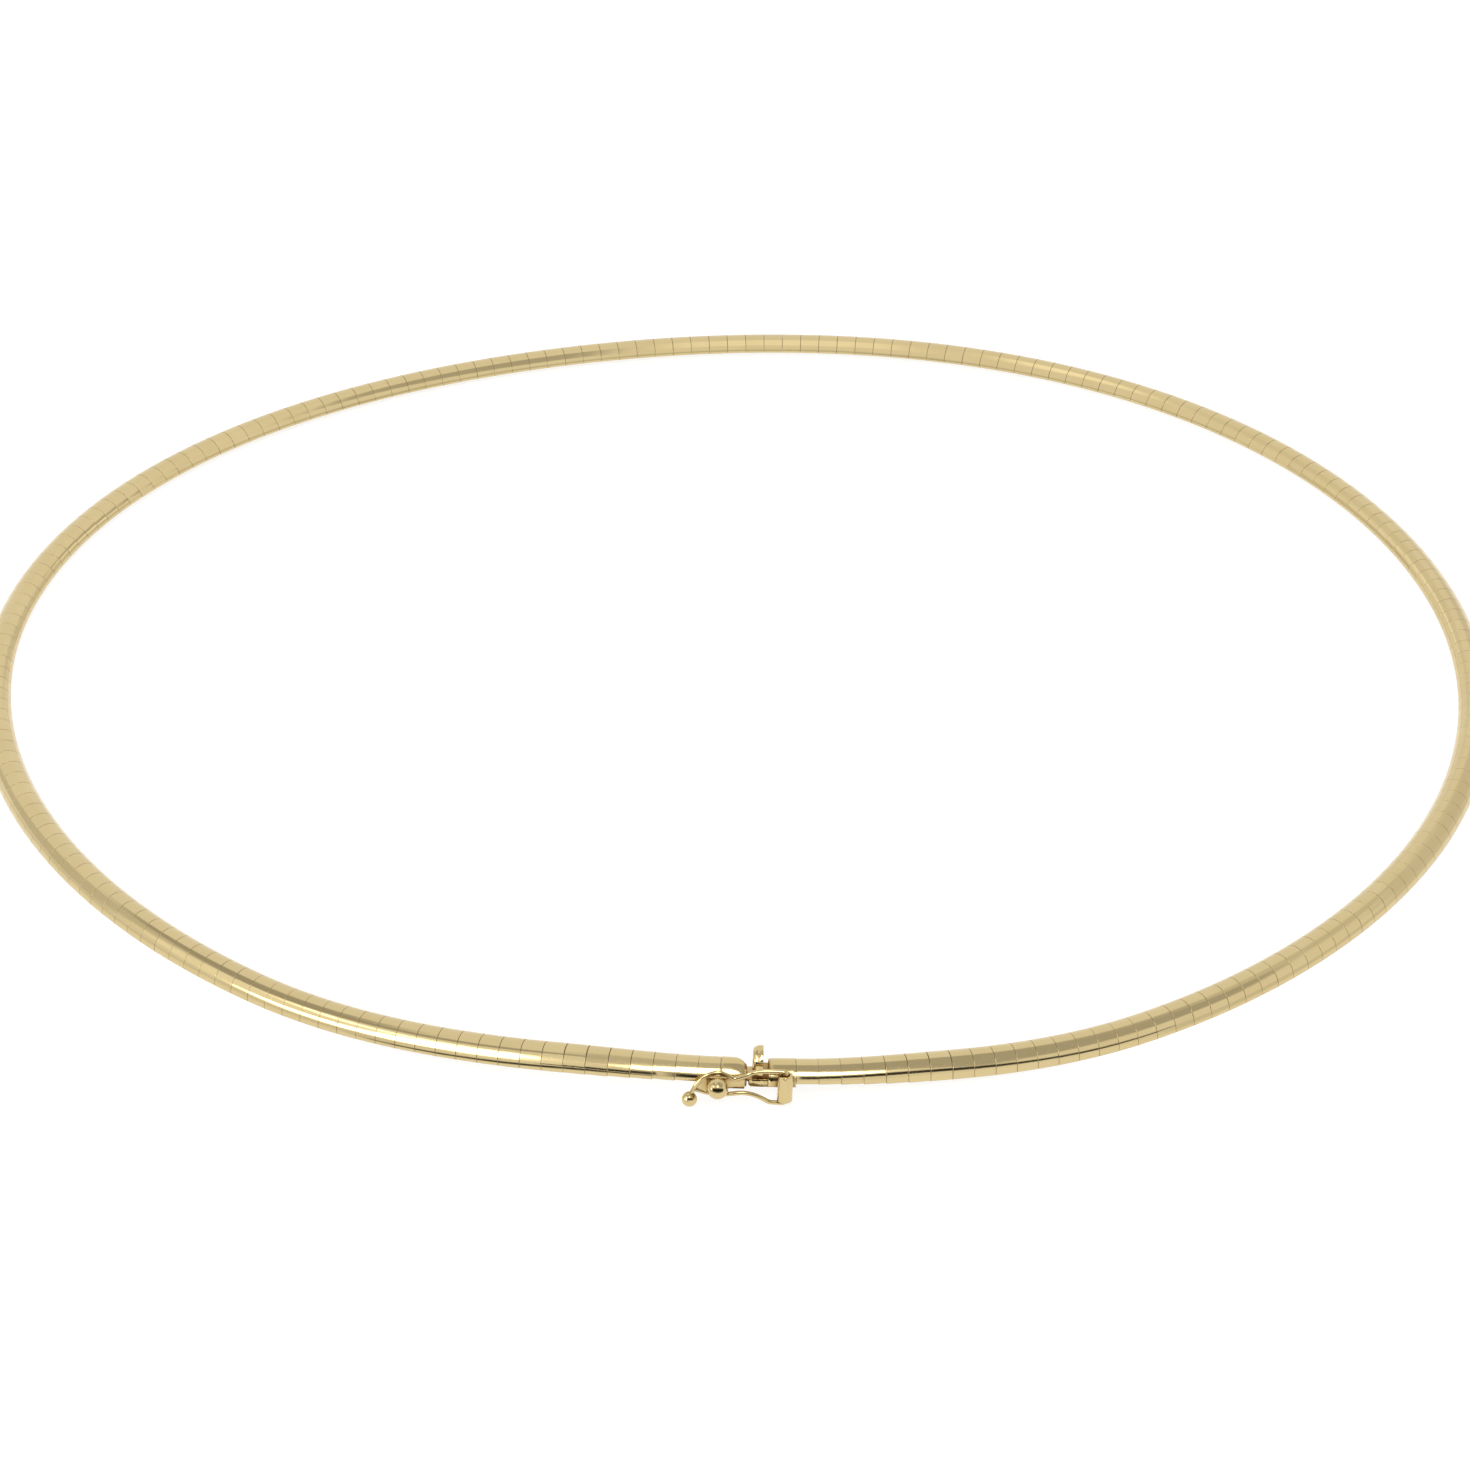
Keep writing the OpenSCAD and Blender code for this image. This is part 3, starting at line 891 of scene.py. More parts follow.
@dataclass
class Casting:
    """A piece of metal in the making: a mesh in millimetres that is cut and gets its edges rounded."""

    data: bpy.types.Mesh

    @staticmethod
    def of(solid: Solid) -> "Casting":
        """Starts a casting from a solid."""
        return Casting(solid.mesh("casting"))

    def _through(self, prepare: Callable[[bpy.types.Object], None]) -> None:
        """Runs modifiers over the mesh and keeps their result.

        Args:
            prepare: Adds the modifiers to the object that it is given.
        """
        obj = placed("casting", self.data)
        prepare(obj)
        self.data = worked_mesh(obj)
        bpy.data.objects.remove(obj)

    def meet(self, solid: Solid, how: Joint) -> "Casting":
        """Cuts away another body, or keeps only what lies in it.

        Args:
            solid: The other body.
            how: What it does.

        Returns:
            This casting.
        """
        tool = placed("tool", solid.mesh("tool"))

        def prepare(obj: bpy.types.Object) -> None:
            """Adds the boolean."""
            cut = obj.modifiers.new("cut", "BOOLEAN")
            cut.operation, cut.solver, cut.object = how.value, "EXACT", tool

        self._through(prepare)
        bpy.data.objects.remove(tool)
        return self

    def soften(self, width: float, segments: int = 3, angle: float = 30.0) -> "Casting":
        """Rounds the edges that turn by more than an angle.

        Args:
            width: Width of the rounding.
            segments: Number of faces across it.
            angle: Least turn of an edge in degrees.

        Returns:
            This casting.
        """

        def prepare(obj: bpy.types.Object) -> None:
            """Adds the bevel.

            Args:
                obj: The object that gets it.
            """
            bevel = obj.modifiers.new("soften", "BEVEL")
            bevel.width, bevel.segments, bevel.limit_method = width, segments, "ANGLE"
            bevel.angle_limit, bevel.miter_outer = math.radians(angle), "MITER_ARC"
            bevel.use_clamp_overlap = True

        self._through(prepare)
        return self


@dataclass
class Piece:
    """A finished piece: castings brought into the frame of the CAD, dressed and set on a body."""

    name: str
    body: str
    replaced: str
    finish: GoldFinish
    grain: float = 0.3
    halvings: int = 3

    def make(self, castings: Sequence[Casting], frame: Matrix, smooth: float = 38.0) -> bpy.types.Object:
        """Joins the castings into one object.

        Args:
            castings: Their meshes in millimetres.
            frame: From their frame to the frame of the CAD, in millimetres.
            smooth: Turn in degrees up to which an edge is shaded smooth.

        Returns:
            The object.
        """
        work = bmesh.new()
        for casting in castings:
            work.from_mesh(casting.data)
        for _ in range(self.halvings):
            bmesh.ops.triangulate(work, faces=work.faces[:])
            long_edges = [e for e in work.edges if e.calc_length() > self.grain]
            bmesh.ops.subdivide_edges(work, edges=long_edges, cuts=1)
        bmesh.ops.triangulate(work, faces=work.faces[:])
        data = bpy.data.meshes.new(self.name)
        work.to_mesh(data)
        work.free()
        data.validate()
        data.transform(Matrix.Scale(MM, 4) @ frame)
        data.polygons.foreach_set("use_smooth", [True] * len(data.polygons))
        data.set_sharp_from_angle(angle=math.radians(smooth))
        obj = placed(self.name, data)
        self._weigh_normals(obj)
        return self.dress(obj)

    @staticmethod
    def _weigh_normals(obj: bpy.types.Object) -> None:
        """Lets the larger faces set the shading beside small rounded edges.

        Args:
            obj: The piece.
        """
        weigh = obj.modifiers.new("weigh", "WEIGHTED_NORMAL")
        weigh.keep_sharp, weigh.weight = True, 80
        data = worked_mesh(obj)
        obj.modifiers.clear()
        data.name = obj.name
        obj.data = data

    def dress(self, obj: bpy.types.Object) -> bpy.types.Object:
        """Gives the piece its finish and its body, and takes over from the CAD node.

        Args:
            obj: The object that becomes the piece.

        Returns:
            The same object.
        """
        obj.data.materials.clear()
        obj.data.materials.append(self.finish.make())
        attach(obj, self.body)
        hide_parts(self.replaced)
        triangles = sum(len(p.vertices) - 2 for p in obj.data.polygons)
        LOG.info("%s: %d triangles", obj.name, triangles)
        return obj


# The band


@dataclass
class BandProfile:
    """Outline of the band across its width: flat underside, upright sides and a dome."""

    width: float = 3.1
    thick: float = 1.5
    side: float = 0.25
    chamfer: float = 0.12

    @property
    def dome_r(self) -> float:
        """Radius of the dome."""
        high = self.thick - self.side
        return ((self.width / 2) ** 2 + high * high) / (2 * high)

    @property
    def dome_mid(self) -> float:
        """Height of the dome's centre over the underside."""
        return self.thick - self.dome_r

    def outline(self, drop: float = 0.0, dome_steps: int = 22, corner_steps: int = 2) -> list[Point2]:
        """Points of the outline, anticlockwise from the lower inner edge.

        Args:
            drop: How much deeper than the band's the underside is.
            dome_steps: Number of stretches over the dome.
            corner_steps: Number of stretches round each lower edge.

        Returns:
            The points as (across, up).
        """
        half, c = self.width / 2, self.chamfer
        reach = math.degrees(math.asin(half / self.dome_r))
        right = arc((half - c, c - drop), c, -90, 0, corner_steps)
        dome = arc((0.0, self.dome_mid), self.dome_r, 90 - reach, 90 + reach, dome_steps)
        left = arc((c - half, c - drop), c, 180, 270, corner_steps)
        return right + dome + left


@dataclass
class SleeveRow:
    """The row of domed sleeves: a straight plate each, so that its reflection steps at every joint."""

    loop: LyingLoop
    profile: BandProfile = field(default_factory=BandProfile)
    slot_w: float = 2.0
    slot_h: float = 0.6
    sole: float = 0.3
    joint: float = 0.014
    edge_r: float = 0.024
    crown: float = 0.0015
    tilt: float = 0.18
    dome_steps: int = 20
    seed: int = 7
    finish: GoldFinish = GoldFinish("satin_gold_sleeves", roughness=0.085, dull=0.05, lines=0.09, plates=True)

    def _outline(self) -> tuple[np.ndarray, np.ndarray]:
        """Outline points and their outward normals.

        Returns:
            The points and the normals, one row each.
        """
        pts = np.array(self.profile.outline(dome_steps=self.dome_steps))
        ahead, behind = np.roll(pts, -1, 0) - pts, pts - np.roll(pts, 1, 0)
        ahead /= np.linalg.norm(ahead, axis=1)[:, None]
        behind /= np.linalg.norm(behind, axis=1)[:, None]
        along = ahead + behind
        along /= np.linalg.norm(along, axis=1)[:, None]
        return pts, np.c_[along[:, 1], -along[:, 0]]

    def _slot(self, pts: np.ndarray) -> np.ndarray:
        """Point on the slot's edge for each point of the outline, seen from the slot's middle.

        Args:
            pts: Points of the outline.

        Returns:
            The points on the slot's edge.
        """
        mid = np.array([0.0, self.sole + self.slot_h / 2])
        away = pts - mid
        shares = np.array([self.slot_w, self.slot_h]) / 2 / np.maximum(abs(away), TINY)
        return mid + away * shares.min(axis=1)[:, None]

    def _rings(self, half: float) -> list[tuple[float, float, float]]:
        """Places of the outer rings along a plate.

        Args:
            half: Half the plate's length.

        Returns:
            For each ring its place, how far it is drawn in, and how far its normal turns, in radians.
        """
        rings = []
        for side in (-1, 1):
            for turn in (90, 45, 0):
                t = math.radians(turn)
                place = half - self.edge_r * (1 - math.sin(t))
                inset = self.edge_r * (1 - math.cos(t)) + self.crown * (place / half) ** 2
                rings.append((side * place, inset, side * (t + 2 * self.crown / half)))
        rings.append((0.0, 0.0, 0.0))
        return sorted(rings)

    def build(self) -> bpy.types.Object:
        """Makes all the sleeves as one mesh with normals of its own, and dresses it.

        Returns:
            The object.
        """
        pts, out = self._outline()
        slot = self._slot(pts)
        n = len(pts)
        half = (self.loop.pitch - self.joint) / 2
        rings = self._rings(half)
        draw = random.Random(self.seed)
        verts, normals, tone, near = [], [], [], []
        for k in range(1, 2 * self.loop.sleeves, 2):
            s = self.loop.run_start + k * self.loop.pitch / 2
            lean = math.radians(self.loop.lean_at(s))
            behind, ahead = (self.loop.normal_at(self.loop.angles[k + step]) for step in (-1, 1))
            fan = math.tan(math.radians(ahead - behind) / 2) / (self.loop.pitch / 2)
            wobble = Matrix.Rotation(math.radians(draw.uniform(-1, 1) * self.tilt), 4, "Y")
            wobble = wobble @ Matrix.Rotation(math.radians(draw.uniform(-1, 1) * self.tilt), 4, "Z")
            frame = self.loop.frame_at(self.loop.angles[k], s) @ Matrix.Rotation(lean, 4, "Y") @ wobble
            turn = np.array(frame.to_3x3())
            move = np.array(frame.translation)
            shade = draw.random()
            for place, inset, tip in rings:
                ring = pts - out * inset
                local = np.c_[ring[:, 0], place * (1 + ring[:, 0] * fan), ring[:, 1]]
                face = np.c_[out[:, 0] * math.cos(tip), np.full(n, math.sin(tip)), out[:, 1] * math.cos(tip)]
                verts.append(local @ turn.T + move)
                normals.append(face @ turn.T)
                tone.append(np.full(n, shade))
                near.append(np.full(n, abs(place) / half))
            for side in (-1, 1):
                local = np.c_[slot[:, 0], side * half * (1 + slot[:, 0] * fan), slot[:, 1]]
                verts.append(local @ turn.T + move)
                normals.append(np.tile(turn[:, 1] * side, (n, 1)))
                tone.append(np.full(n, shade))
                near.append(np.full(n, 1.0))
        arrays = [np.array(rows) for rows in (verts, normals, tone, near)]
        return self._object(*arrays, per=len(rings) + 2)

    def _faces(self, plates: int, per: int, n: int) -> np.ndarray:
        """Quads over the rings of every plate: outside, both ends and the slot.

        Args:
            plates: Number of plates.
            per: Rings in one plate, the last two being the slot's.
            n: Points in a ring.

        Returns:
            The corners of the quads, as ring and point numbers joined.
        """
        k = np.arange(n)
        m = (k + 1) % n
        outer = per - 2
        pairs = [(i, i + 1) for i in range(outer - 1)]
        pairs += [(outer - 1, outer + 1), (outer + 1, outer), (outer, 0)]
        quads = [np.c_[a * n + k, b * n + k, b * n + m, a * n + m] for a, b in pairs]
        one = np.concatenate(quads)
        return np.concatenate([one + p * per * n for p in range(plates)])

    def _object(
        self, verts: np.ndarray, normals: np.ndarray, tone: np.ndarray, near: np.ndarray, per: int
    ) -> bpy.types.Object:
        """Turns the rings into an object.

        Args:
            verts: Points of all rings.
            normals: Their normals.
            tone: Tone of each point's sleeve.
            near: How near each point is to the joint.
            per: Rings in one plate.

        Returns:
            The object with its normals, its attributes and its finish.
        """
        n = verts.shape[1]
        plates = self.loop.sleeves
        faces = self._faces(plates, per, n)
        data = bpy.data.meshes.new("band_sleeves_finish")
        data.from_pydata((verts.reshape(-1, 3) * MM).tolist(), [], faces.tolist())
        data.polygons.foreach_set("use_smooth", [True] * len(data.polygons))
        for name, values in (("plate_tone", tone), ("joint_near", near)):
            store = data.attributes.new(name, "FLOAT", "POINT")
            store.data.foreach_set("value", values.reshape(-1).astype(np.float32))
        flat = normals.reshape(-1, 3)
        corner = flat[faces.reshape(-1)].reshape(-1, 4, 3)
        outer = (per - 2) * n - n
        own = np.zeros(len(data.polygons) * 3)
        data.polygons.foreach_get("normal", own)
        own = own.reshape(-1, 3)
        which = np.arange(len(faces)) % (per * n)
        inner = which >= outer
        corner[inner] = own[inner][:, None, :]
        data.normals_split_custom_set(corner.reshape(-1, 3).tolist())
        piece = Piece("omega_sleeves", "necklace", "band_sleeves", self.finish)
        return piece.dress(placed(piece.name, data))


@dataclass
class CoreStrip:
    """The flat strip that the sleeves are threaded on: the CAD's own solid, with a rolled finish."""

    node: bpy.types.Object
    finish: GoldFinish = GoldFinish(
        "rolled_core_strip",
        colour=(0.42, 0.3, 0.13, 1.0),
        warm=(0.3, 0.2, 0.08, 1.0),
        roughness=0.35,
        dull=0.15,
        lines=0.3,
    )

    def dress(self) -> None:
        """Gives the strip its finish."""
        self.node.data.materials.clear()
        self.node.data.materials.append(self.finish.make())
        LOG.info("%s dressed", self.node.name)


# The clasp


@dataclass
class ClaspSizes:
    """Sizes that the pieces of the clasp share."""

    profile: BandProfile = field(default_factory=BandProfile)
    gap: float = 1.8
    box_l: float = 2.35
    tongue_l: float = 2.2
    drop: float = 0.35
    wall: float = 0.25
    lip_clear: float = 0.07
    lip_t: float = 0.3
    back: float = 0.55
    tongue_w: float = 2.2
    tongue_t: float = 0.25
    tongue_clear: float = 0.06
    fold_r: float = 0.22
    leaf_w: float = 1.3
    leaf_t: float = 0.2
    leaf_clear: float = 0.08
    nose_w: float = 2.0
    nose_l: float = 1.6
    mouth_r: float = 1.3
    corner_r: float = 0.2
    tray_clear: float = 0.12
    tray_r: float = 0.3
    plate_t: float = 0.3
    plate_clear: float = 0.1
    wire_r: float = 0.2
    tube_at: float = 1.5
    bend_r: float = 70.74
    lean: float = -5.0
    reach: float = 0.05
    mouth_drop: float = 0.16
    mouth_run: float = 0.5
    nose_drop: float = 0.32
    nose_run: float = 1.5

    @property
    def half(self) -> float:
        """Half the open length between the two ends."""
        return self.gap / 2

    @property
    def side(self) -> float:
        """Half the band's width."""
        return self.profile.width / 2

    @property
    def floor(self) -> float:
        """Height of the box's floor."""
        return self.wall - self.drop

    @property
    def depth(self) -> float:
        """Depth of the box's hollow."""
        return self.box_l - self.back

    @property
    def leaf_low(self) -> float:
        """Height of the tongue's lower leaf."""
        return self.floor + self.tongue_clear

    @property
    def fold_at(self) -> float:
        """Place of the fold along the band."""
        return self.half + self.depth - self.fold_r - 2 * self.tongue_clear

    @property
    def fold_up(self) -> float:
        """Height of the fold's middle."""
        return self.leaf_low + self.tongue_t + self.fold_r * 0.9

    @property
    def leaf_up(self) -> float:
        """Height of the upper leaf."""
        return self.fold_up + self.fold_r + self.leaf_clear

    @property
    def lip_up(self) -> float:
        """Height of the lip over the mouth of the box."""
        return self.leaf_up + self.leaf_t + self.lip_clear

    @property
    def tube_s(self) -> float:
        """Place of the hinge tube along the band."""
        return self.half + self.tube_at

    @property
    def catch_u(self) -> float:
        """How far out of the band's middle the plane of the catch is."""
        return self.side + 2 * self.plate_clear + self.plate_t + self.wire_r

    def end_body(self, start: float, length: float) -> Solid:
        """The domed, deeper end of the band, swept round the loop's bend from its rounded edge.

        Args:
            start: Place of that edge along the band.
            length: Its length, negative towards the tongue's end.

        Returns:
            The solid.
        """
        outline = self.profile.outline(drop=self.drop, dome_steps=40, corner_steps=4)
        lean = math.radians(self.lean)
        drop, run = (self.mouth_drop, self.mouth_run) if length > 0 else (self.nose_drop, self.nose_run)
        rings = []
        stops = (0.0, 0.01, 0.03, 0.06, 0.1, 0.15, 0.2, 0.27, 0.35, 0.45, 0.6, 0.8, 1.0)
        for share in stops if length > 0 else tuple(reversed(stops)):
            turn = (start + length * share) / self.bend_r
            near = min(share * abs(length) / run, 1.0)
            inset = drop * (1 - math.sqrt(1 - (1 - near) ** 2))
            ring = []
            for u, v in outline:
                if v > self.profile.side:
                    away = Vector((u, v - self.profile.dome_mid))
                    shrunk = away * (1 - inset / away.length)
                    u, v = shrunk.x, shrunk.y + self.profile.dome_mid
                across, up = u * math.cos(lean) + v * math.sin(lean), v * math.cos(lean) - u * math.sin(lean)
                x = (self.bend_r + across) * math.cos(turn) - self.bend_r
                y = (self.bend_r + across) * math.sin(turn)
                out, high = x * math.cos(lean) - up * math.sin(lean), x * math.sin(lean) + up * math.cos(lean)
                ring.append((out, y, high))
            rings.append(ring)
        return Solid.rings(rings)


@dataclass
class ClaspPart:
    """A piece of the clasp that stands for one node of the CAD."""

    sizes: ClaspSizes
    finish: GoldFinish = GoldFinish("polished_gold")

    node = ""
    body = "necklace"
    smooth = 38.0

    def castings(self) -> list[Casting]:
        """The metal that the piece is soldered together from."""
        raise NotImplementedError

    def build(self, frame: Matrix) -> bpy.types.Object:
        """Makes and dresses the piece, in the clasp's frame."""
        piece = Piece(self.node + "_finish", self.body, self.node, self.finish)
        return piece.make(self.castings(), frame, self.smooth)


@dataclass
class TongueEnd(ClaspPart):
    """Left end of the band: its slanted nose, the spring tongue, and the plate that carries the stud."""

    finish: GoldFinish = GoldFinish.clasp("tongue_end", roughness=0.08, dull=0.04, lines=0.06, corners=1.3)
    stud_r: float = 0.93
    stud_s: float = -3.4575
    stud_v: float = 0.3633
    stem_r: float = 0.3
    plate_low: float = -0.3
    plate_over: float = 0.95
    foot_in: float = 0.4
    foot_from: float = 0.3
    foot_over: float = 0.3
    skin: float = 0.05
    nose_r: Point2 = (0.5, 1.0)
    fillet: tuple[Point2, ...] = ((0.1, 0.0), (0.07, 0.06), (0.02, 0.13), (0.0, 0.2))
    plate_corner: float = 0.22
    edge_soft: float = 0.05

    node = "tongue_end"

    def _nose(self) -> Casting:
        """The end's body, cut to its slanted and rounded nose.

        Returns:
            The casting.
        """
        z = self.sizes
        side, front = z.side + self.skin, -z.half
        slope = z.nose_l / z.nose_w
        inner = front - z.nose_l - self.skin * slope
        far = front - z.tongue_l - 1
        plan = rounded(
            [(side, far), (side, front), (z.nose_w - z.side, front), (-side, inner), (-side, far)],
            [0.0, z.corner_r + self.skin, *self.nose_r, 0.0],
        )
        body = Casting.of(z.end_body(front, -z.tongue_l - z.reach))
        return body.meet(Solid.extruded(plan, Across.UP, BELOW, ABOVE), Joint.KEEP).soften(0.07)

    def _stud(self) -> list[Casting]:
        """The plate soldered to the side, with the stem and its ball.

        Returns:
            The plate, its foot, the stem and the ball.
        """
        z = self.sizes
        plate_u = z.side + z.plate_clear
        near, far = -z.half - z.corner_r, self.stud_s - self.plate_over
        low, high = self.plate_low, self.stud_v + self.stem_r + self.skin
        radii = [self.plate_corner, 0.08, 0.08, self.plate_corner]
        outline = rounded([(far, low), (near, low), (near, high), (far, high)], radii)
        sheet = Solid.extruded(outline, Across.OUT, plate_u, plate_u + z.plate_t)
        plate = Casting.of(sheet).soften(self.edge_soft)
        foot_low = (z.side - self.foot_in, self.foot_from - z.half - z.tongue_l, self.plate_low)
        foot_high = (plate_u + z.plate_t / 2, -z.half - z.corner_r, z.profile.side + self.foot_over)
        foot = Casting.of(Solid.block(foot_low, foot_high)).soften(0.04)
        out = z.catch_u + self.stud_r
        start = plate_u + z.plate_t - self.skin
        flare = [(self.stem_r + more, start + up) for more, up in self.fillet]
        stem_profile = [(0.0, start), *flare, (self.stem_r, out), (0.0, out)]
        stem = Casting.of(Solid.turned(stem_profile, (0.0, self.stud_s, self.stud_v), Across.OUT, 32))
        ball = Casting.of(Solid.ball(self.stud_r, (out, self.stud_s, self.stud_v), 48))
        return [plate, foot, stem, ball]

    def _tongue(self) -> list[Casting]:
        """The lower leaf and the round fold at its end.

        Returns:
            The leaf and the fold.
        """
        z = self.sizes
        low = (-z.tongue_w / 2, -z.half - z.nose_l, z.leaf_low)
        leaf = Casting.of(Solid.block(low, (z.tongue_w / 2, z.fold_at, z.leaf_low + z.tongue_t)))
        leaf.soften(self.edge_soft)
        half = z.leaf_w / 2
        ends = [(0.0, -half), (z.fold_r, -half), (z.fold_r, half), (0.0, half)]
        fold = Casting.of(Solid.turned(ends, (0.0, z.fold_at, z.fold_up), Across.OUT, 32)).soften(0.04)
        return [leaf, fold]

    def castings(self) -> list[Casting]:
        """The nose, the stud on its plate, and the tongue."""
        return [self._nose(), *self._stud(), *self._tongue()]


@dataclass
class BoxEnd(ClaspPart):
    """Right end of the band: the hollow box with its lip, the tray under the gap, and the hinge tube."""

    finish: GoldFinish = GoldFinish.clasp("box_end", roughness=0.1, dull=0.05, lines=0.08, corners=1.3)
    tube_r: float = 0.67
    bore_r: float = 0.37
    tube_low: float = -1.13
    tube_high: float = 1.41
    rim: float = 0.07
    bore_clear: float = 0.03
    web_share: float = 0.65
    skin: float = 0.05
    edge_soft: float = 0.05

    node = "box_end"

    def _hollow(self, start: float, end: float, top: float) -> Solid:
        """One stretch of the box's hollow, up to a height.

        Args:
            start: Place where it starts.
            end: Place where it ends.
            top: Height up to which it is hollow.

        Returns:
            The solid to cut away.
        """
        z = self.sizes
        r = z.profile.dome_r - z.wall
        side = z.side - z.wall
        mid = z.profile.dome_mid
        across = min(side, math.sqrt(max(r * r - (top - mid) ** 2, 0.0)) if top < mid + r else 0.0)
        reach = math.degrees(math.asin(side / r))
        stop = math.degrees(math.asin(across / r)) if across < side else reach
        right = arc((0.0, mid), r, 90 - reach, 90 - stop, 8) if stop < reach else [(side, top)]
        left = [(-x, y) for x, y in reversed(right)]
        outline = [(-side, z.floor), (side, z.floor), *right, *left]
        kept = [p for i, p in enumerate(outline) if i == 0 or math.dist(p, outline[i - 1]) > 1e-4]
        return Solid.extruded(kept, Across.ALONG, start, end)

    def _box(self) -> Casting:
        """The hollow box and all that is soldered to it.

        Returns:
            The casting.
        """
        z = self.sizes
        far = z.half + z.box_l
        side = z.side + self.skin
        corners = [(-side, far + 1), (-side, z.half), (side, z.half), (side, far + 1)]
        plan = rounded(corners, [0.0, z.mouth_r, z.corner_r + self.skin, 0.0], 12)
        box = Casting.of(z.end_body(z.half, z.box_l + z.reach))
        box.meet(self._hollow(z.half + z.lip_t, z.half + z.depth, z.profile.thick + 1), Joint.CUT)
        box.meet(self._hollow(z.half - 1, z.half + z.depth, z.lip_up), Joint.CUT)
        box.meet(Solid.extruded(plan, Across.UP, BELOW, ABOVE), Joint.KEEP)
        return box.soften(self.edge_soft)

    def _tray(self) -> list[Casting]:
        """The tray that runs on from the box's floor, with its low outer wall.

        Returns:
            The floor and the wall.
        """
        z = self.sizes
        start, end = -z.half + z.tray_clear, z.half + 2 * z.corner_r
        side = z.side - z.profile.chamfer
        top = z.leaf_low + z.tongue_t
        radii = [z.tray_r, 0.0, 0.0, 0.05]
        low, wall = ([(start, -z.drop), (end, -z.drop), (end, t), (start, t)] for t in (z.floor, top))
        base = Solid.extruded(rounded(low, radii), Across.OUT, -side, side)
        edge = Solid.extruded(rounded(wall, [z.tray_r, 0.0, 0.0, 0.12]), Across.OUT, side - z.wall, side)
        return [Casting.of(base).soften(0.04), Casting.of(edge).soften(self.edge_soft)]

    def _tube(self) -> list[Casting]:
        """The hinge tube with softened rims, and the web that joins it to the box.

        Returns:
            The tube and the web.
        """
        z = self.sizes
        low, high, r, b = self.tube_low, self.tube_high, self.tube_r, self.bore_r
        ring = rounded([(b, low), (r, low), (r, high), (b, high)], [self.rim] * 4, 4)
        tube = Casting.of(Solid.turned([*ring, ring[0]], (z.catch_u, z.tube_s, 0.0), Across.UP, 64))
        web = r * self.web_share
        corner = (z.side - z.wall * 0.6, z.tube_s - web, z.profile.chamfer - z.drop)
        block = Solid.block(corner, (z.catch_u, z.tube_s + web, z.profile.side + z.profile.chamfer))
        wide = b + self.bore_clear
        bore = [(0.0, BELOW), (wide, BELOW), (wide, -BELOW), (0.0, -BELOW)]
        cut = Solid.turned(bore, (z.catch_u, z.tube_s, 0.0), Across.UP, 32)
        return [tube, Casting.of(block).meet(cut, Joint.CUT).soften(self.edge_soft)]

    def castings(self) -> list[Casting]:
        """The box, its tray and its hinge tube."""
        return [self._box(), *self._tray(), *self._tube()]


@dataclass
class ThumbTab(ClaspPart):
    """The half-round tab that the thumb presses, on the tongue's upper leaf."""

    finish: GoldFinish = GoldFinish.clasp("thumb_tab", roughness=0.07, dull=0.03, lines=0.05, corners=1.0)
    r: float = 1.35
    over: float = 1.35
    thick: float = 0.92
    edge_drop: float = 0.5
    edge_run: float = 0.8
    step_l: float = 0.25
    step_rise: float = 0.12
    step_share: float = 0.3

    node = "thumb_tab"
    body = "tab"

    def castings(self) -> list[Casting]:
        """The tab, the leaf that it stands on, and the step behind the lip.

        Returns:
            The tab, the leaf and the step.
        """
        z = self.sizes
        top = z.profile.thick + self.over
        half = self.thick / 2
        rings = []
        for share in (0.0, 0.04, 0.1, 0.18, 0.28, 0.4, 0.55, 0.75, 1.0):
            r = self.r - self.edge_drop * (1 - math.sqrt(1 - (1 - share) ** 2))
            ring = [(-r, z.leaf_up), (r, z.leaf_up), *arc((0.0, top - self.r), r, 0, 180, 48)]
            rings.append([(u, share * self.edge_run - half, v) for u, v in ring])
        rings.append([(u, half, v) for u, _, v in rings[-1]])
        tab = Casting.of(Solid.rings(rings)).soften(0.06, 3, 50.0)
        side, end = z.leaf_w / 2, z.fold_at + z.fold_r
        leaf = Solid.block((-side, 0.0, z.leaf_up), (side, end, z.leaf_up + z.leaf_t))
        start = z.half + z.lip_t + z.lip_clear
        w = z.leaf_w * self.step_share
        step = Solid.block((-w, start, z.leaf_up), (w, start + self.step_l, z.lip_up + self.step_rise))
        return [tab, Casting.of(leaf).soften(0.04), Casting.of(step).soften(0.05)]


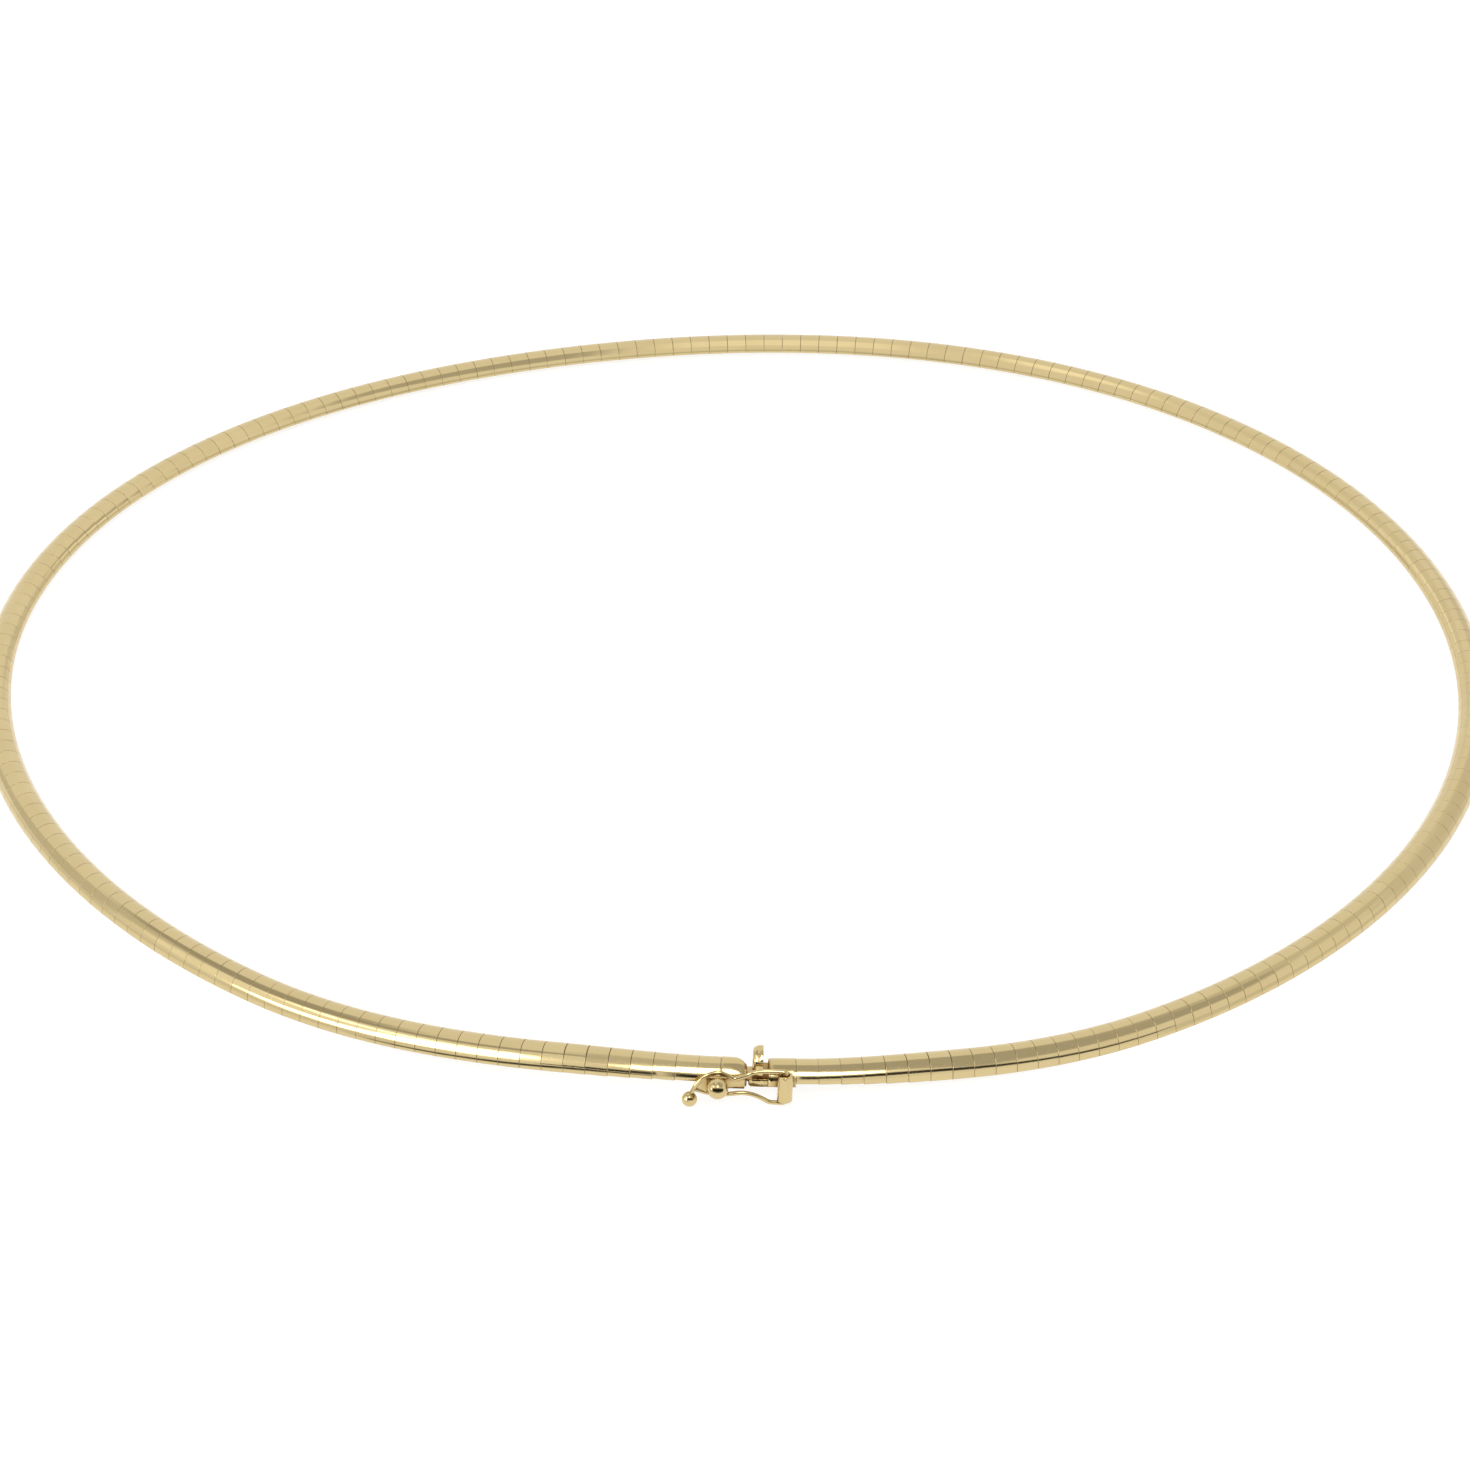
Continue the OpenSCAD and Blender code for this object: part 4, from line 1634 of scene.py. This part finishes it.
@dataclass
class SafetyCatch(ClaspPart):
    """The figure of wire that swings on the hinge pin and snaps over the stud, with a ball for the finger."""

    finish: GoldFinish = GoldFinish.clasp("safety_catch", roughness=0.08, dull=0.04, lines=0.05, corners=1.3)
    length: float = 8.25
    height: float = 3.08
    mid: float = 0.14
    tip_r: float = 0.63
    tip_full: float = 0.05
    pin_r: float = 0.3
    bend_r: float = 0.28
    in_tube: tuple[float, ...] = (1.2, 0.8, 0.4, 0.15)
    around: int = 20
    web_from: float = 0.8
    web_t: float = 0.09
    web_rise: float = 0.09
    upper: tuple[Point2, ...] = (
        (0.0, 0.505), (0.1, 0.505), (0.22, 0.505), (0.34, 0.45), (0.4, 0.36), (0.48, 0.28), (0.54, 0.24),
        (0.61, 0.34), (0.71, 0.43), (0.84, 0.29), (0.93, 0.02), (0.98, -0.26), (1.0, -0.465),
    )
    lower: tuple[Point2, ...] = (
        (0.0, -0.5), (0.09, -0.5), (0.17, -0.475), (0.24, -0.37), (0.33, -0.265), (0.42, -0.22),
        (0.49, -0.225), (0.58, -0.26), (0.71, -0.285), (0.84, -0.22), (0.955, -0.12),
    )

    node = "safety_catch"
    body = "catch"
    smooth = 50.0

    def _way(self, table: Sequence[Point2], up: float) -> list[tuple[Vector, float]]:
        """Path of a wire as (s, v) with its radius, from inside the hinge tube to its end.

        Args:
            table: Its points as shares of the catch's length and height.
            up: 1 for the upper wire, -1 for the lower one.

        Returns:
            The path's points and radii.
        """
        z = self.sizes
        knots = [Vector((z.tube_s - self.length * x, self.mid + self.height * y)) for x, y in table]
        knots[0] = knots[0] - Vector((self.bend_r, 0.0))
        turn = arc((0.0, 0.0), self.bend_r, 0, 90, 6)
        centre = knots[0] - Vector((0.0, self.bend_r * up))
        bend = [centre + Vector((x, y * up)) for x, y in turn]
        inside = [bend[0] - Vector((0.0, up * d)) for d in self.in_tube]
        path = [(p, self.pin_r) for p in inside]
        path += [(p, self.pin_r + (z.wire_r - self.pin_r) * i / 6) for i, p in enumerate(bend)]
        for i in range(len(knots) - 1):
            p0, p1, p2 = knots[max(i - 1, 0)], knots[i], knots[i + 1]
            p3 = knots[min(i + 2, len(knots) - 1)]
            for j in range(1, 7):
                t = j / 6
                square, cube = 2 * p0 - 5 * p1 + 4 * p2 - p3, 3 * p1 - p0 - 3 * p2 + p3
                path.append((0.5 * (2 * p1 + (p2 - p0) * t + square * t**2 + cube * t**3), z.wire_r))
        return path

    def _wire(self, table: Sequence[Point2], up: float) -> Casting:
        """One wire, round in section, in the plane of the catch.

        Args:
            table: The wire's points as shares of the catch's length and height.
            up: 1 for the upper wire, -1 for the lower one.

        Returns:
            The casting.
        """
        path = self._way(table, up)
        rings = []
        for i, (p, r) in enumerate(path):
            d = (path[min(i + 1, len(path) - 1)][0] - path[max(i - 1, 0)][0]).normalized()
            ring = []
            for k in range(self.around):
                t = 2 * math.pi * k / self.around
                out, across = r * math.cos(t), r * math.sin(t)
                ring.append((self.sizes.catch_u + out, p.x - d.y * across, p.y + d.x * across))
            rings.append(ring)
        return Casting.of(Solid.rings(rings))

    def _web(self, steps: int = 24, across: int = 8) -> Casting:
        """The hollowed web that solder leaves between the wires beside the finger ball.

        Args:
            steps: Number of stretches along it.
            across: Number of stretches from the upper wire to the lower one.

        Returns:
            The casting.
        """
        z = self.sizes
        stop = z.tube_s - self.length * self.web_from
        sides = []
        for table, up in ((self.upper, 1.0), (self.lower, -1.0)):
            way = [p for p, _ in self._way(table, up) if p.x < stop]
            run = np.cumsum([0.0] + [(b - a).length for a, b in zip(way, way[1:])])
            at = np.linspace(0.0, run[-1], steps + 1)
            sides.append(np.c_[tuple(np.interp(at, run, [p[axis] for p in way]) for axis in (0, 1))])
        rings = []
        for above, below in zip(*sides):
            front, back = [], []
            for k in range(across + 1):
                share = k / across
                s, v = above + (below - above) * share
                thick = self.web_t + self.web_rise * (2 * share - 1) ** 2
                front.append((z.catch_u + thick, s, v))
                back.append((z.catch_u - thick, s, v))
            rings.append([*front, *reversed(back)])
        return Casting.of(Solid.rings(rings))

    def _ball(self) -> Casting:
        """The finger ball at the tip.

        Returns:
            The casting.
        """
        z = self.sizes
        centre = (z.catch_u, z.tube_s - self.length, self.mid + self.height * self.upper[-1][1])
        return Casting.of(Solid.ball(self.tip_r + self.tip_full, centre, 40))

    def castings(self) -> list[Casting]:
        """Both wires, the web between them and the finger ball."""
        return [self._wire(self.upper, 1.0), self._wire(self.lower, -1.0), self._web(), self._ball()]


@dataclass
class ShutIn:
    """Works out how shut in each point of the clasp is by the metal round it, as the clasp rests closed, for
    the painted shade in its corners.
    """

    reach: float = 1.1
    lift: float = 0.01
    rays: int = 36
    gain: float = 2.4

    def _fan(self) -> np.ndarray:
        """Directions over a half space, more of them near its axis.

        Returns:
            The directions, one row each.
        """
        turns = np.arange(self.rays) * math.pi * (3 - math.sqrt(5))
        share = (np.arange(self.rays) + 0.5) / self.rays
        flat = np.sqrt(share)
        return np.c_[flat * np.cos(turns), flat * np.sin(turns), np.sqrt(1 - share)]

    def paint(self, pieces: Sequence[bpy.types.Object]) -> None:
        """Stores the result on the meshes.

        Args:
            pieces: The pieces, which shut each other in too.
        """
        points, faces = [], []
        for piece in pieces:
            first = len(points)
            points.extend(v.co.copy() for v in piece.data.vertices)
            faces.extend([first + i for i in p.vertices] for p in piece.data.polygons)
        tree = BVHTree.FromPolygons(points, faces)
        fan = self._fan()
        for piece in pieces:
            shut = []
            for vertex in piece.data.vertices:
                turn = np.array(vertex.normal.to_track_quat("Z", "Y").to_matrix())
                start = vertex.co + vertex.normal * (self.lift * MM)
                met = 0.0
                for way in fan @ turn.T:
                    gone = tree.ray_cast(start, Vector(way), self.reach * MM)[3]
                    if gone is not None:
                        met += 1 - gone / (self.reach * MM)
                shut.append(min(met / self.rays * self.gain, 1.0))
            piece.data.attributes.new("shut_in", "FLOAT", "POINT").data.foreach_set("value", shut)
            LOG.info("%s: mean shade %.2f", piece.name, sum(shut) / len(shut))


# The studio


@dataclass(frozen=True)
class LightPatch:
    """A stretch of the tent of its own brightness, between two edges that run on from place to place."""

    name: str
    light: float
    soft: float
    edges: tuple[Point3, ...]

    def share(self, azimuth: float, elevation: float) -> float:
        """How much of the patch shows in a direction.

        Args:
            azimuth: Degrees anticlockwise from the right side.
            elevation: Degrees over the floor.

        Returns:
            A share from 0 to 1.
        """
        ways = [e[0] for e in self.edges]
        first, last = ways[0], ways[-1]
        for turned in (azimuth, azimuth + 360.0, azimuth - 360.0):
            if first <= turned <= last:
                low, high = (float(np.interp(turned, ways, [e[i] for e in self.edges])) for i in (1, 2))
                across = min(elevation - low, high - elevation) / self.soft + 0.5
                return eased(min(across, (turned - first) / self.soft, (last - turned) / self.soft))
        return 0.0


def light_at(cloth: float, patches: Sequence[LightPatch], azimuth: float, elevation: float) -> float:
    """Brightness of a cloth in a direction, with its patches laid over it one by one.

    Args:
        cloth: The cloth's own brightness.
        patches: Its patches, the later ones on top.
        azimuth: Degrees anticlockwise from the right side, or a joint's number on a card.
        elevation: Degrees over the floor.

    Returns:
        The brightness.
    """
    light = cloth
    for patch in patches:
        light += (patch.light - light) * patch.share(azimuth, elevation)
    return light


def lit_cloth(
    name: str, points: list[Point3], faces: Faces, light: list[float], cloth: TentCloth
) -> bpy.types.Object:
    """Makes a part of the stage that gives off light and that the camera itself doesn't see.

    Args:
        name: Its name.
        points: Its corners in metres.
        faces: Its faces.
        light: Brightness at each corner.
        cloth: Its material.

    Returns:
        The object.
    """
    data = bpy.data.meshes.new(name)
    data.from_pydata(points, [], faces)
    store = data.color_attributes.new(name="tent_light", type="FLOAT_COLOR", domain="POINT")
    store.data.foreach_set("color", [c for value in light for c in (value, value, value, 1.0)])
    data.materials.append(cloth.make())
    obj = placed(name, data)
    obj.visible_camera = False
    obj.visible_shadow = False
    return obj


@dataclass
class Tent:
    """A white tent round the necklace, as soft light with a seam, a bright window and duller stretches."""

    radius: float = 1.2
    cloth: float = 1.02
    step: float = 1.25
    lowest: float = -1.0
    patches: tuple[LightPatch, ...] = (
        LightPatch(
            "dull_top", 0.74, 8,
            ((-200, 76, 120), (-146, 70, 120), (-129, 62, 120), (-121, 50, 120), (-115, 38, 120),
             (-108, 38, 120), (-102, 62, 120), (-90, 74, 120), (60, 72, 120), (130, 76, 120),
             (200, 76, 120)),
        ),
        LightPatch(
            "dull_right", 0.57, 8,
            ((-76, 64, 120), (-66, 60, 120), (-58, 40, 120), (-52, 26, 120), (-44, 34, 120),
             (-30, 37, 120), (-14, 30, 120), (0, 37, 120), (12, 45, 120), (24, 52, 120), (38, 60, 120),
             (50, 61, 120), (62, 65, 120), (75, 70, 90), (90, 74, 80)),
        ),
        LightPatch("right_middle", 0.82, 10, ((8, 34, 54), (22, 34, 60), (50, 36, 56))),
        LightPatch(
            "dull_left", 0.5, 6,
            ((134, 48, 54), (146, 44, 60), (160, 40, 60), (172, 43, 60), (182, 43, 62), (190, 52, 68),
             (204, 56, 70), (216, 64, 72), (226, 66, 70)),
        ),
        LightPatch(
            "left_seam", 0.78, 6,
            ((138, -8, 12), (146, -8, 24), (153, -8, 38), (160, -8, 44), (168, -8, 44), (178, -8, 42)),
        ),
        LightPatch(
            "right_seam", 0.84, 10,
            ((5, -8, 20), (25, -8, 34), (50, -8, 38), (64, 10, 38), (76, 16, 30)),
        ),
        LightPatch(
            "window_edge", 1.2, 5,
            ((-184, 18, 36), (-170, 10, 46), (-155, 9, 50), (-130, 6, 46), (-116, 3, 30)),
        ),
        LightPatch(
            "window", 6.5, 4,
            ((-163, 10, 14), (-155, 6, 17), (-148, 5, 20), (-144, 6, 40), (-134, 9, 43), (-129, 10, 36),
             (-124, 11, 28)),
        ),
        LightPatch("window_top", 3, 3, ((-172, 43, 46), (-160, 36, 42), (-144, 36, 44), (-136, 38, 44))),
        LightPatch(
            "front_light", 6.5, 4,
            ((-110, 37, 44), (-105, 28, 48), (-101, 33, 60), (-96, 37, 68), (-88, 38, 66), (-76, 40, 60),
             (-66, 40, 50)),
        ),
        LightPatch(
            "front_seam", 0.04, 3,
            ((-124, -6, -3), (-119, -6, 4), (-112, -6, 11), (-106, -6, 15), (-101, 6, 24), (-98, 10, 29),
             (-90, 12, 32), (-76, 19, 32), (-66, 18, 35), (-56, 11, 29), (-48, 6, 18), (-41, -2, 10),
             (-30, -4, 3)),
        ),
    )

    def build(self) -> None:
        """Makes the tent, which the camera itself doesn't see."""
        across, high = int(360 / self.step), int((90 - self.lowest) / self.step) + 1
        points, faces, light = [], [], []
        for j in range(high + 1):
            el = min(self.lowest + j * self.step, 90.0)
            for i in range(across):
                az = -180 + i * self.step
                turn, rise = math.radians(az), math.radians(el)
                spot = Vector((math.cos(turn), math.sin(turn), 0.0)) * math.cos(rise)
                points.append((spot + Vector((0.0, 0.0, math.sin(rise)))) * self.radius)
                light.append(light_at(self.cloth, self.patches, az, el))
        for here in range(0, high * across, across):
            for i in range(across):
                k, above = (i + 1) % across, here + across
                faces.append((here + i, here + k, above + k, above + i))
        lit_cloth("tent", points, faces, light, TentCloth())


@dataclass
class BandCard:
    """A card that follows a stretch of the band, seen only in its gloss and clear from its other side.

    Each row of the card has its place out of the band's middle, its height and its elevation in degrees
    as the band sees it. The edges of the patches give a joint's number along the band and two such
    elevations.
    """

    loop: LyingLoop
    name: str
    joints: range
    rows: Sequence[Point3]
    card: float
    patches: tuple[LightPatch, ...]

    @staticmethod
    def arch(loop: LyingLoop, radius: float = 30.0, lift: float = 1.0) -> "BandCard":
        """An arched white card over the far side of the loop, with a fold and brighter stretches.

        Args:
            loop: The way of the band.
            radius: Radius of the arch.
            lift: Height of its centre over the band.

        Returns:
            The card.
        """
        rows = []
        for rise in range(6, 114, 3):
            t = math.radians(rise)
            rows.append((-radius * math.cos(t), lift + radius * math.sin(t), float(rise)))
        patches = (
            LightPatch("low", 0.76, 14, ((100, -60, 25), (400, -60, 25))),
            LightPatch("pale_end", 0.94, 6, ((100, 60, 150), (186, 78, 150))),
            LightPatch("right_glow", 1.4, 6, ((184, 92, 104), (192, 80, 110), (200, 74, 112))),
            LightPatch("middle_glow", 1.24, 6, ((202, 66, 106), (213, 57, 104), (226, 62, 100))),
            LightPatch("fold", 0.6, 6, ((225, 52, 92), (234, 51, 92), (240, 54, 90), (253, 64, 86))),
        )
        return BandCard(loop, "arched_card", range(158, 299, 2), rows, 1.04, patches)

    @staticmethod
    def ribbon(
        loop: LyingLoop,
        name: str,
        joints: range,
        patches: tuple[LightPatch, ...],
        sight: float = 1.3,
        lift: float = 0.05,
    ) -> "BandCard":
        """A ribbon that lies on the floor beside the outer edge.

        Args:
            loop: The way of the band.
            name: Name of the ribbon.
            joints: Joints that it passes.
            patches: Its duller stretches.
            sight: Height on the band that the ribbon's elevations are counted from.
            lift: Height of the ribbon over the floor.

        Returns:
            The ribbon.
        """
        falls = (1.2, 2.0, 3.0, 4.0, 5.5, 7.0, 9.0, 11.0, 13.0, 15.0, 17.5, 20.0, 23.0, 26.0, 30.0, 34.0)
        rows = [(sight / math.tan(math.radians(fall)), lift, -fall) for fall in falls]
        return BandCard(loop, name, joints, rows, 1.1, patches)

    def build(self) -> None:
        """Makes the card."""
        points, light = [], []
        for joint in self.joints:
            x, y = self.loop.place(self.loop.angles[joint])
            turn = math.radians(self.loop.normal_at(self.loop.angles[joint]) + self.loop.clasp_turn)
            for out, up, rise in self.rows:
                points.append(((x + out * math.cos(turn)) * MM, (y + out * math.sin(turn)) * MM, up * MM))
                light.append(light_at(self.card, self.patches, joint, rise))
        faces = grid_faces(len(self.joints), len(self.rows), flipped=True)
        obj = lit_cloth(self.name, points, faces, light, TentCloth(self.name + "_cloth", one_sided=True))
        obj.visible_diffuse = False


@dataclass
class DarkFlag:
    """A narrow dark flag before the clasp, seen only in the gloss of its wires and balls."""

    sizes: ClaspSizes
    frame: Matrix
    rise: float = 14.0
    away: float = 3.6
    middle: Point2 = (3.17, 0.36)
    half: float = 2.4
    start: float = -10.0
    end: float = 4.4
    dark: float = 0.02
    soft: float = 0.75
    fade: int = 6

    def build(self, steps: int = 24, across: int = 14) -> None:
        """Makes the flag.

        Args:
            steps: Number of stretches along the band.
            across: Number of stretches over its width.
        """
        t = math.radians(self.rise)
        points, light = [], []
        for i in range(steps + 1):
            s = self.start + (self.end - self.start) * i / steps
            for j in range(across + 1):
                share = 2 * j / across - 1
                out = self.middle[0] + self.away * math.cos(t) - self.half * share * math.sin(t)
                up = self.middle[1] + self.away * math.sin(t) + self.half * share * math.cos(t)
                point = self.frame @ Vector((out, s, up))
                points.append(tuple(point * MM))
                near = eased(min(1 - abs(share), (steps / 2 - abs(i - steps / 2)) / self.fade) / self.soft)
                light.append(1.0 + (self.dark - 1.0) * near)
        faces = grid_faces(steps + 1, across + 1)
        flag = lit_cloth("dark_flag", points, faces, light, TentCloth("dark_flag_cloth", one_sided=True))
        flag.visible_diffuse = False


@dataclass
class Studio:
    """Pale floor, the tent's soft light and the camera at the photo's place."""

    loop: LyingLoop
    elevation: float = 32.5
    turn: float = -0.076
    distance: float = 8.7
    off: Point2 = (0.00627, 0.13282)
    focal_px: float = 6292.9
    frame_px: int = 1470
    sensor: float = 36.0
    floor_size: float = 3.0

    def camera(self) -> None:
        """Puts the camera where the photo was taken from."""
        el = math.radians(self.elevation)
        turn = Matrix.Rotation(math.radians(self.turn), 3, "Z")
        back, up = self.distance * math.cos(el), self.distance * math.sin(el)
        place = turn @ Vector((-self.off[0], -self.off[1] - back, up)) * self.loop.mean_r * MM
        place += Vector((self.loop.shift[0], self.loop.shift[1], 0.0)) * MM
        data = bpy.data.cameras.new("photo_view")
        data.sensor_width = self.sensor
        data.lens = self.focal_px / self.frame_px * self.sensor
        data.clip_start, data.clip_end = 0.01, 20.0
        obj = placed("photo_view", data)
        obj.location = place
        look = turn @ Vector((0.0, math.cos(el), -math.sin(el)))
        obj.rotation_euler = look.to_track_quat("-Z", "Y").to_euler()
        bpy.context.scene.camera = obj

    def floor(self) -> None:
        """Lays the pale floor."""
        size = self.floor_size
        data = bpy.data.meshes.new("pale_floor")
        corners = [(-size, -size, 0), (size, -size, 0), (size, size, 0), (-size, size, 0)]
        data.from_pydata(corners, [], [(0, 1, 2, 3)])
        data.materials.append(PaleFloor().make())
        placed("pale_floor", data)

    def world(self) -> None:
        """Lights what the tent doesn't reach."""
        world = bpy.data.worlds.new("white_room")
        world.use_nodes = True
        back = world.node_tree.nodes["Background"]
        back.inputs["Color"].default_value = (1.0, 1.0, 1.0, 1.0)
        back.inputs["Strength"].default_value = 1.0
        bpy.context.scene.world = world

    def cards(self) -> None:
        """Stands and lays the cards that only the band's gloss sees."""
        right = (LightPatch("right_dim", 0.86, 10, ((30, -34, 5), (60, -24, 5), (112, -20, 5))),)
        left = (
            LightPatch("left_dim", 0.9, 8, ((344, -22, 5), (412, -20, 5))),
            LightPatch(
                "front_line", 0.04, 5,
                ((404, -24, -20), (412, -20, -12), (419, -15, -5), (425, -9, 5), (429, -6, 6),
                 (435, -3, 6)),
            ),
        )
        BandCard.arch(self.loop).build()
        BandCard.ribbon(self.loop, "right_ribbon", range(1, 112, 2), right).build()
        BandCard.ribbon(self.loop, "left_ribbon", range(339, 440, 2), left).build()

    def build(self) -> None:
        """Sets up the camera, the floor, the light and the plain colour transform."""
        self.camera()
        self.floor()
        self.world()
        Tent().build()
        self.cards()
        bpy.context.scene.view_settings.view_transform = "Standard"


def main() -> None:
    """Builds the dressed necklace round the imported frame."""
    logging.basicConfig(level=logging.INFO, format="%(name)s: %(message)s")
    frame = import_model()
    loop = LyingLoop()
    studio = Studio(loop)
    studio.build()
    sizes = ClaspSizes(bend_r=loop.bend_radius(), lean=loop.clasp_lean)
    clasp = loop.clasp_frame()
    SleeveRow(loop).build()
    CoreStrip(frame["nodes"]["core_strip"]).dress()
    clasp_parts = (TongueEnd(sizes), BoxEnd(sizes), ThumbTab(sizes), SafetyCatch(sizes))
    # Occlusion of the closed clasp, stored for its painted corner shade
    ShutIn().paint([part.build(clasp) for part in clasp_parts])
    DarkFlag(sizes, clasp).build()


if __name__ == "__main__":
    main()
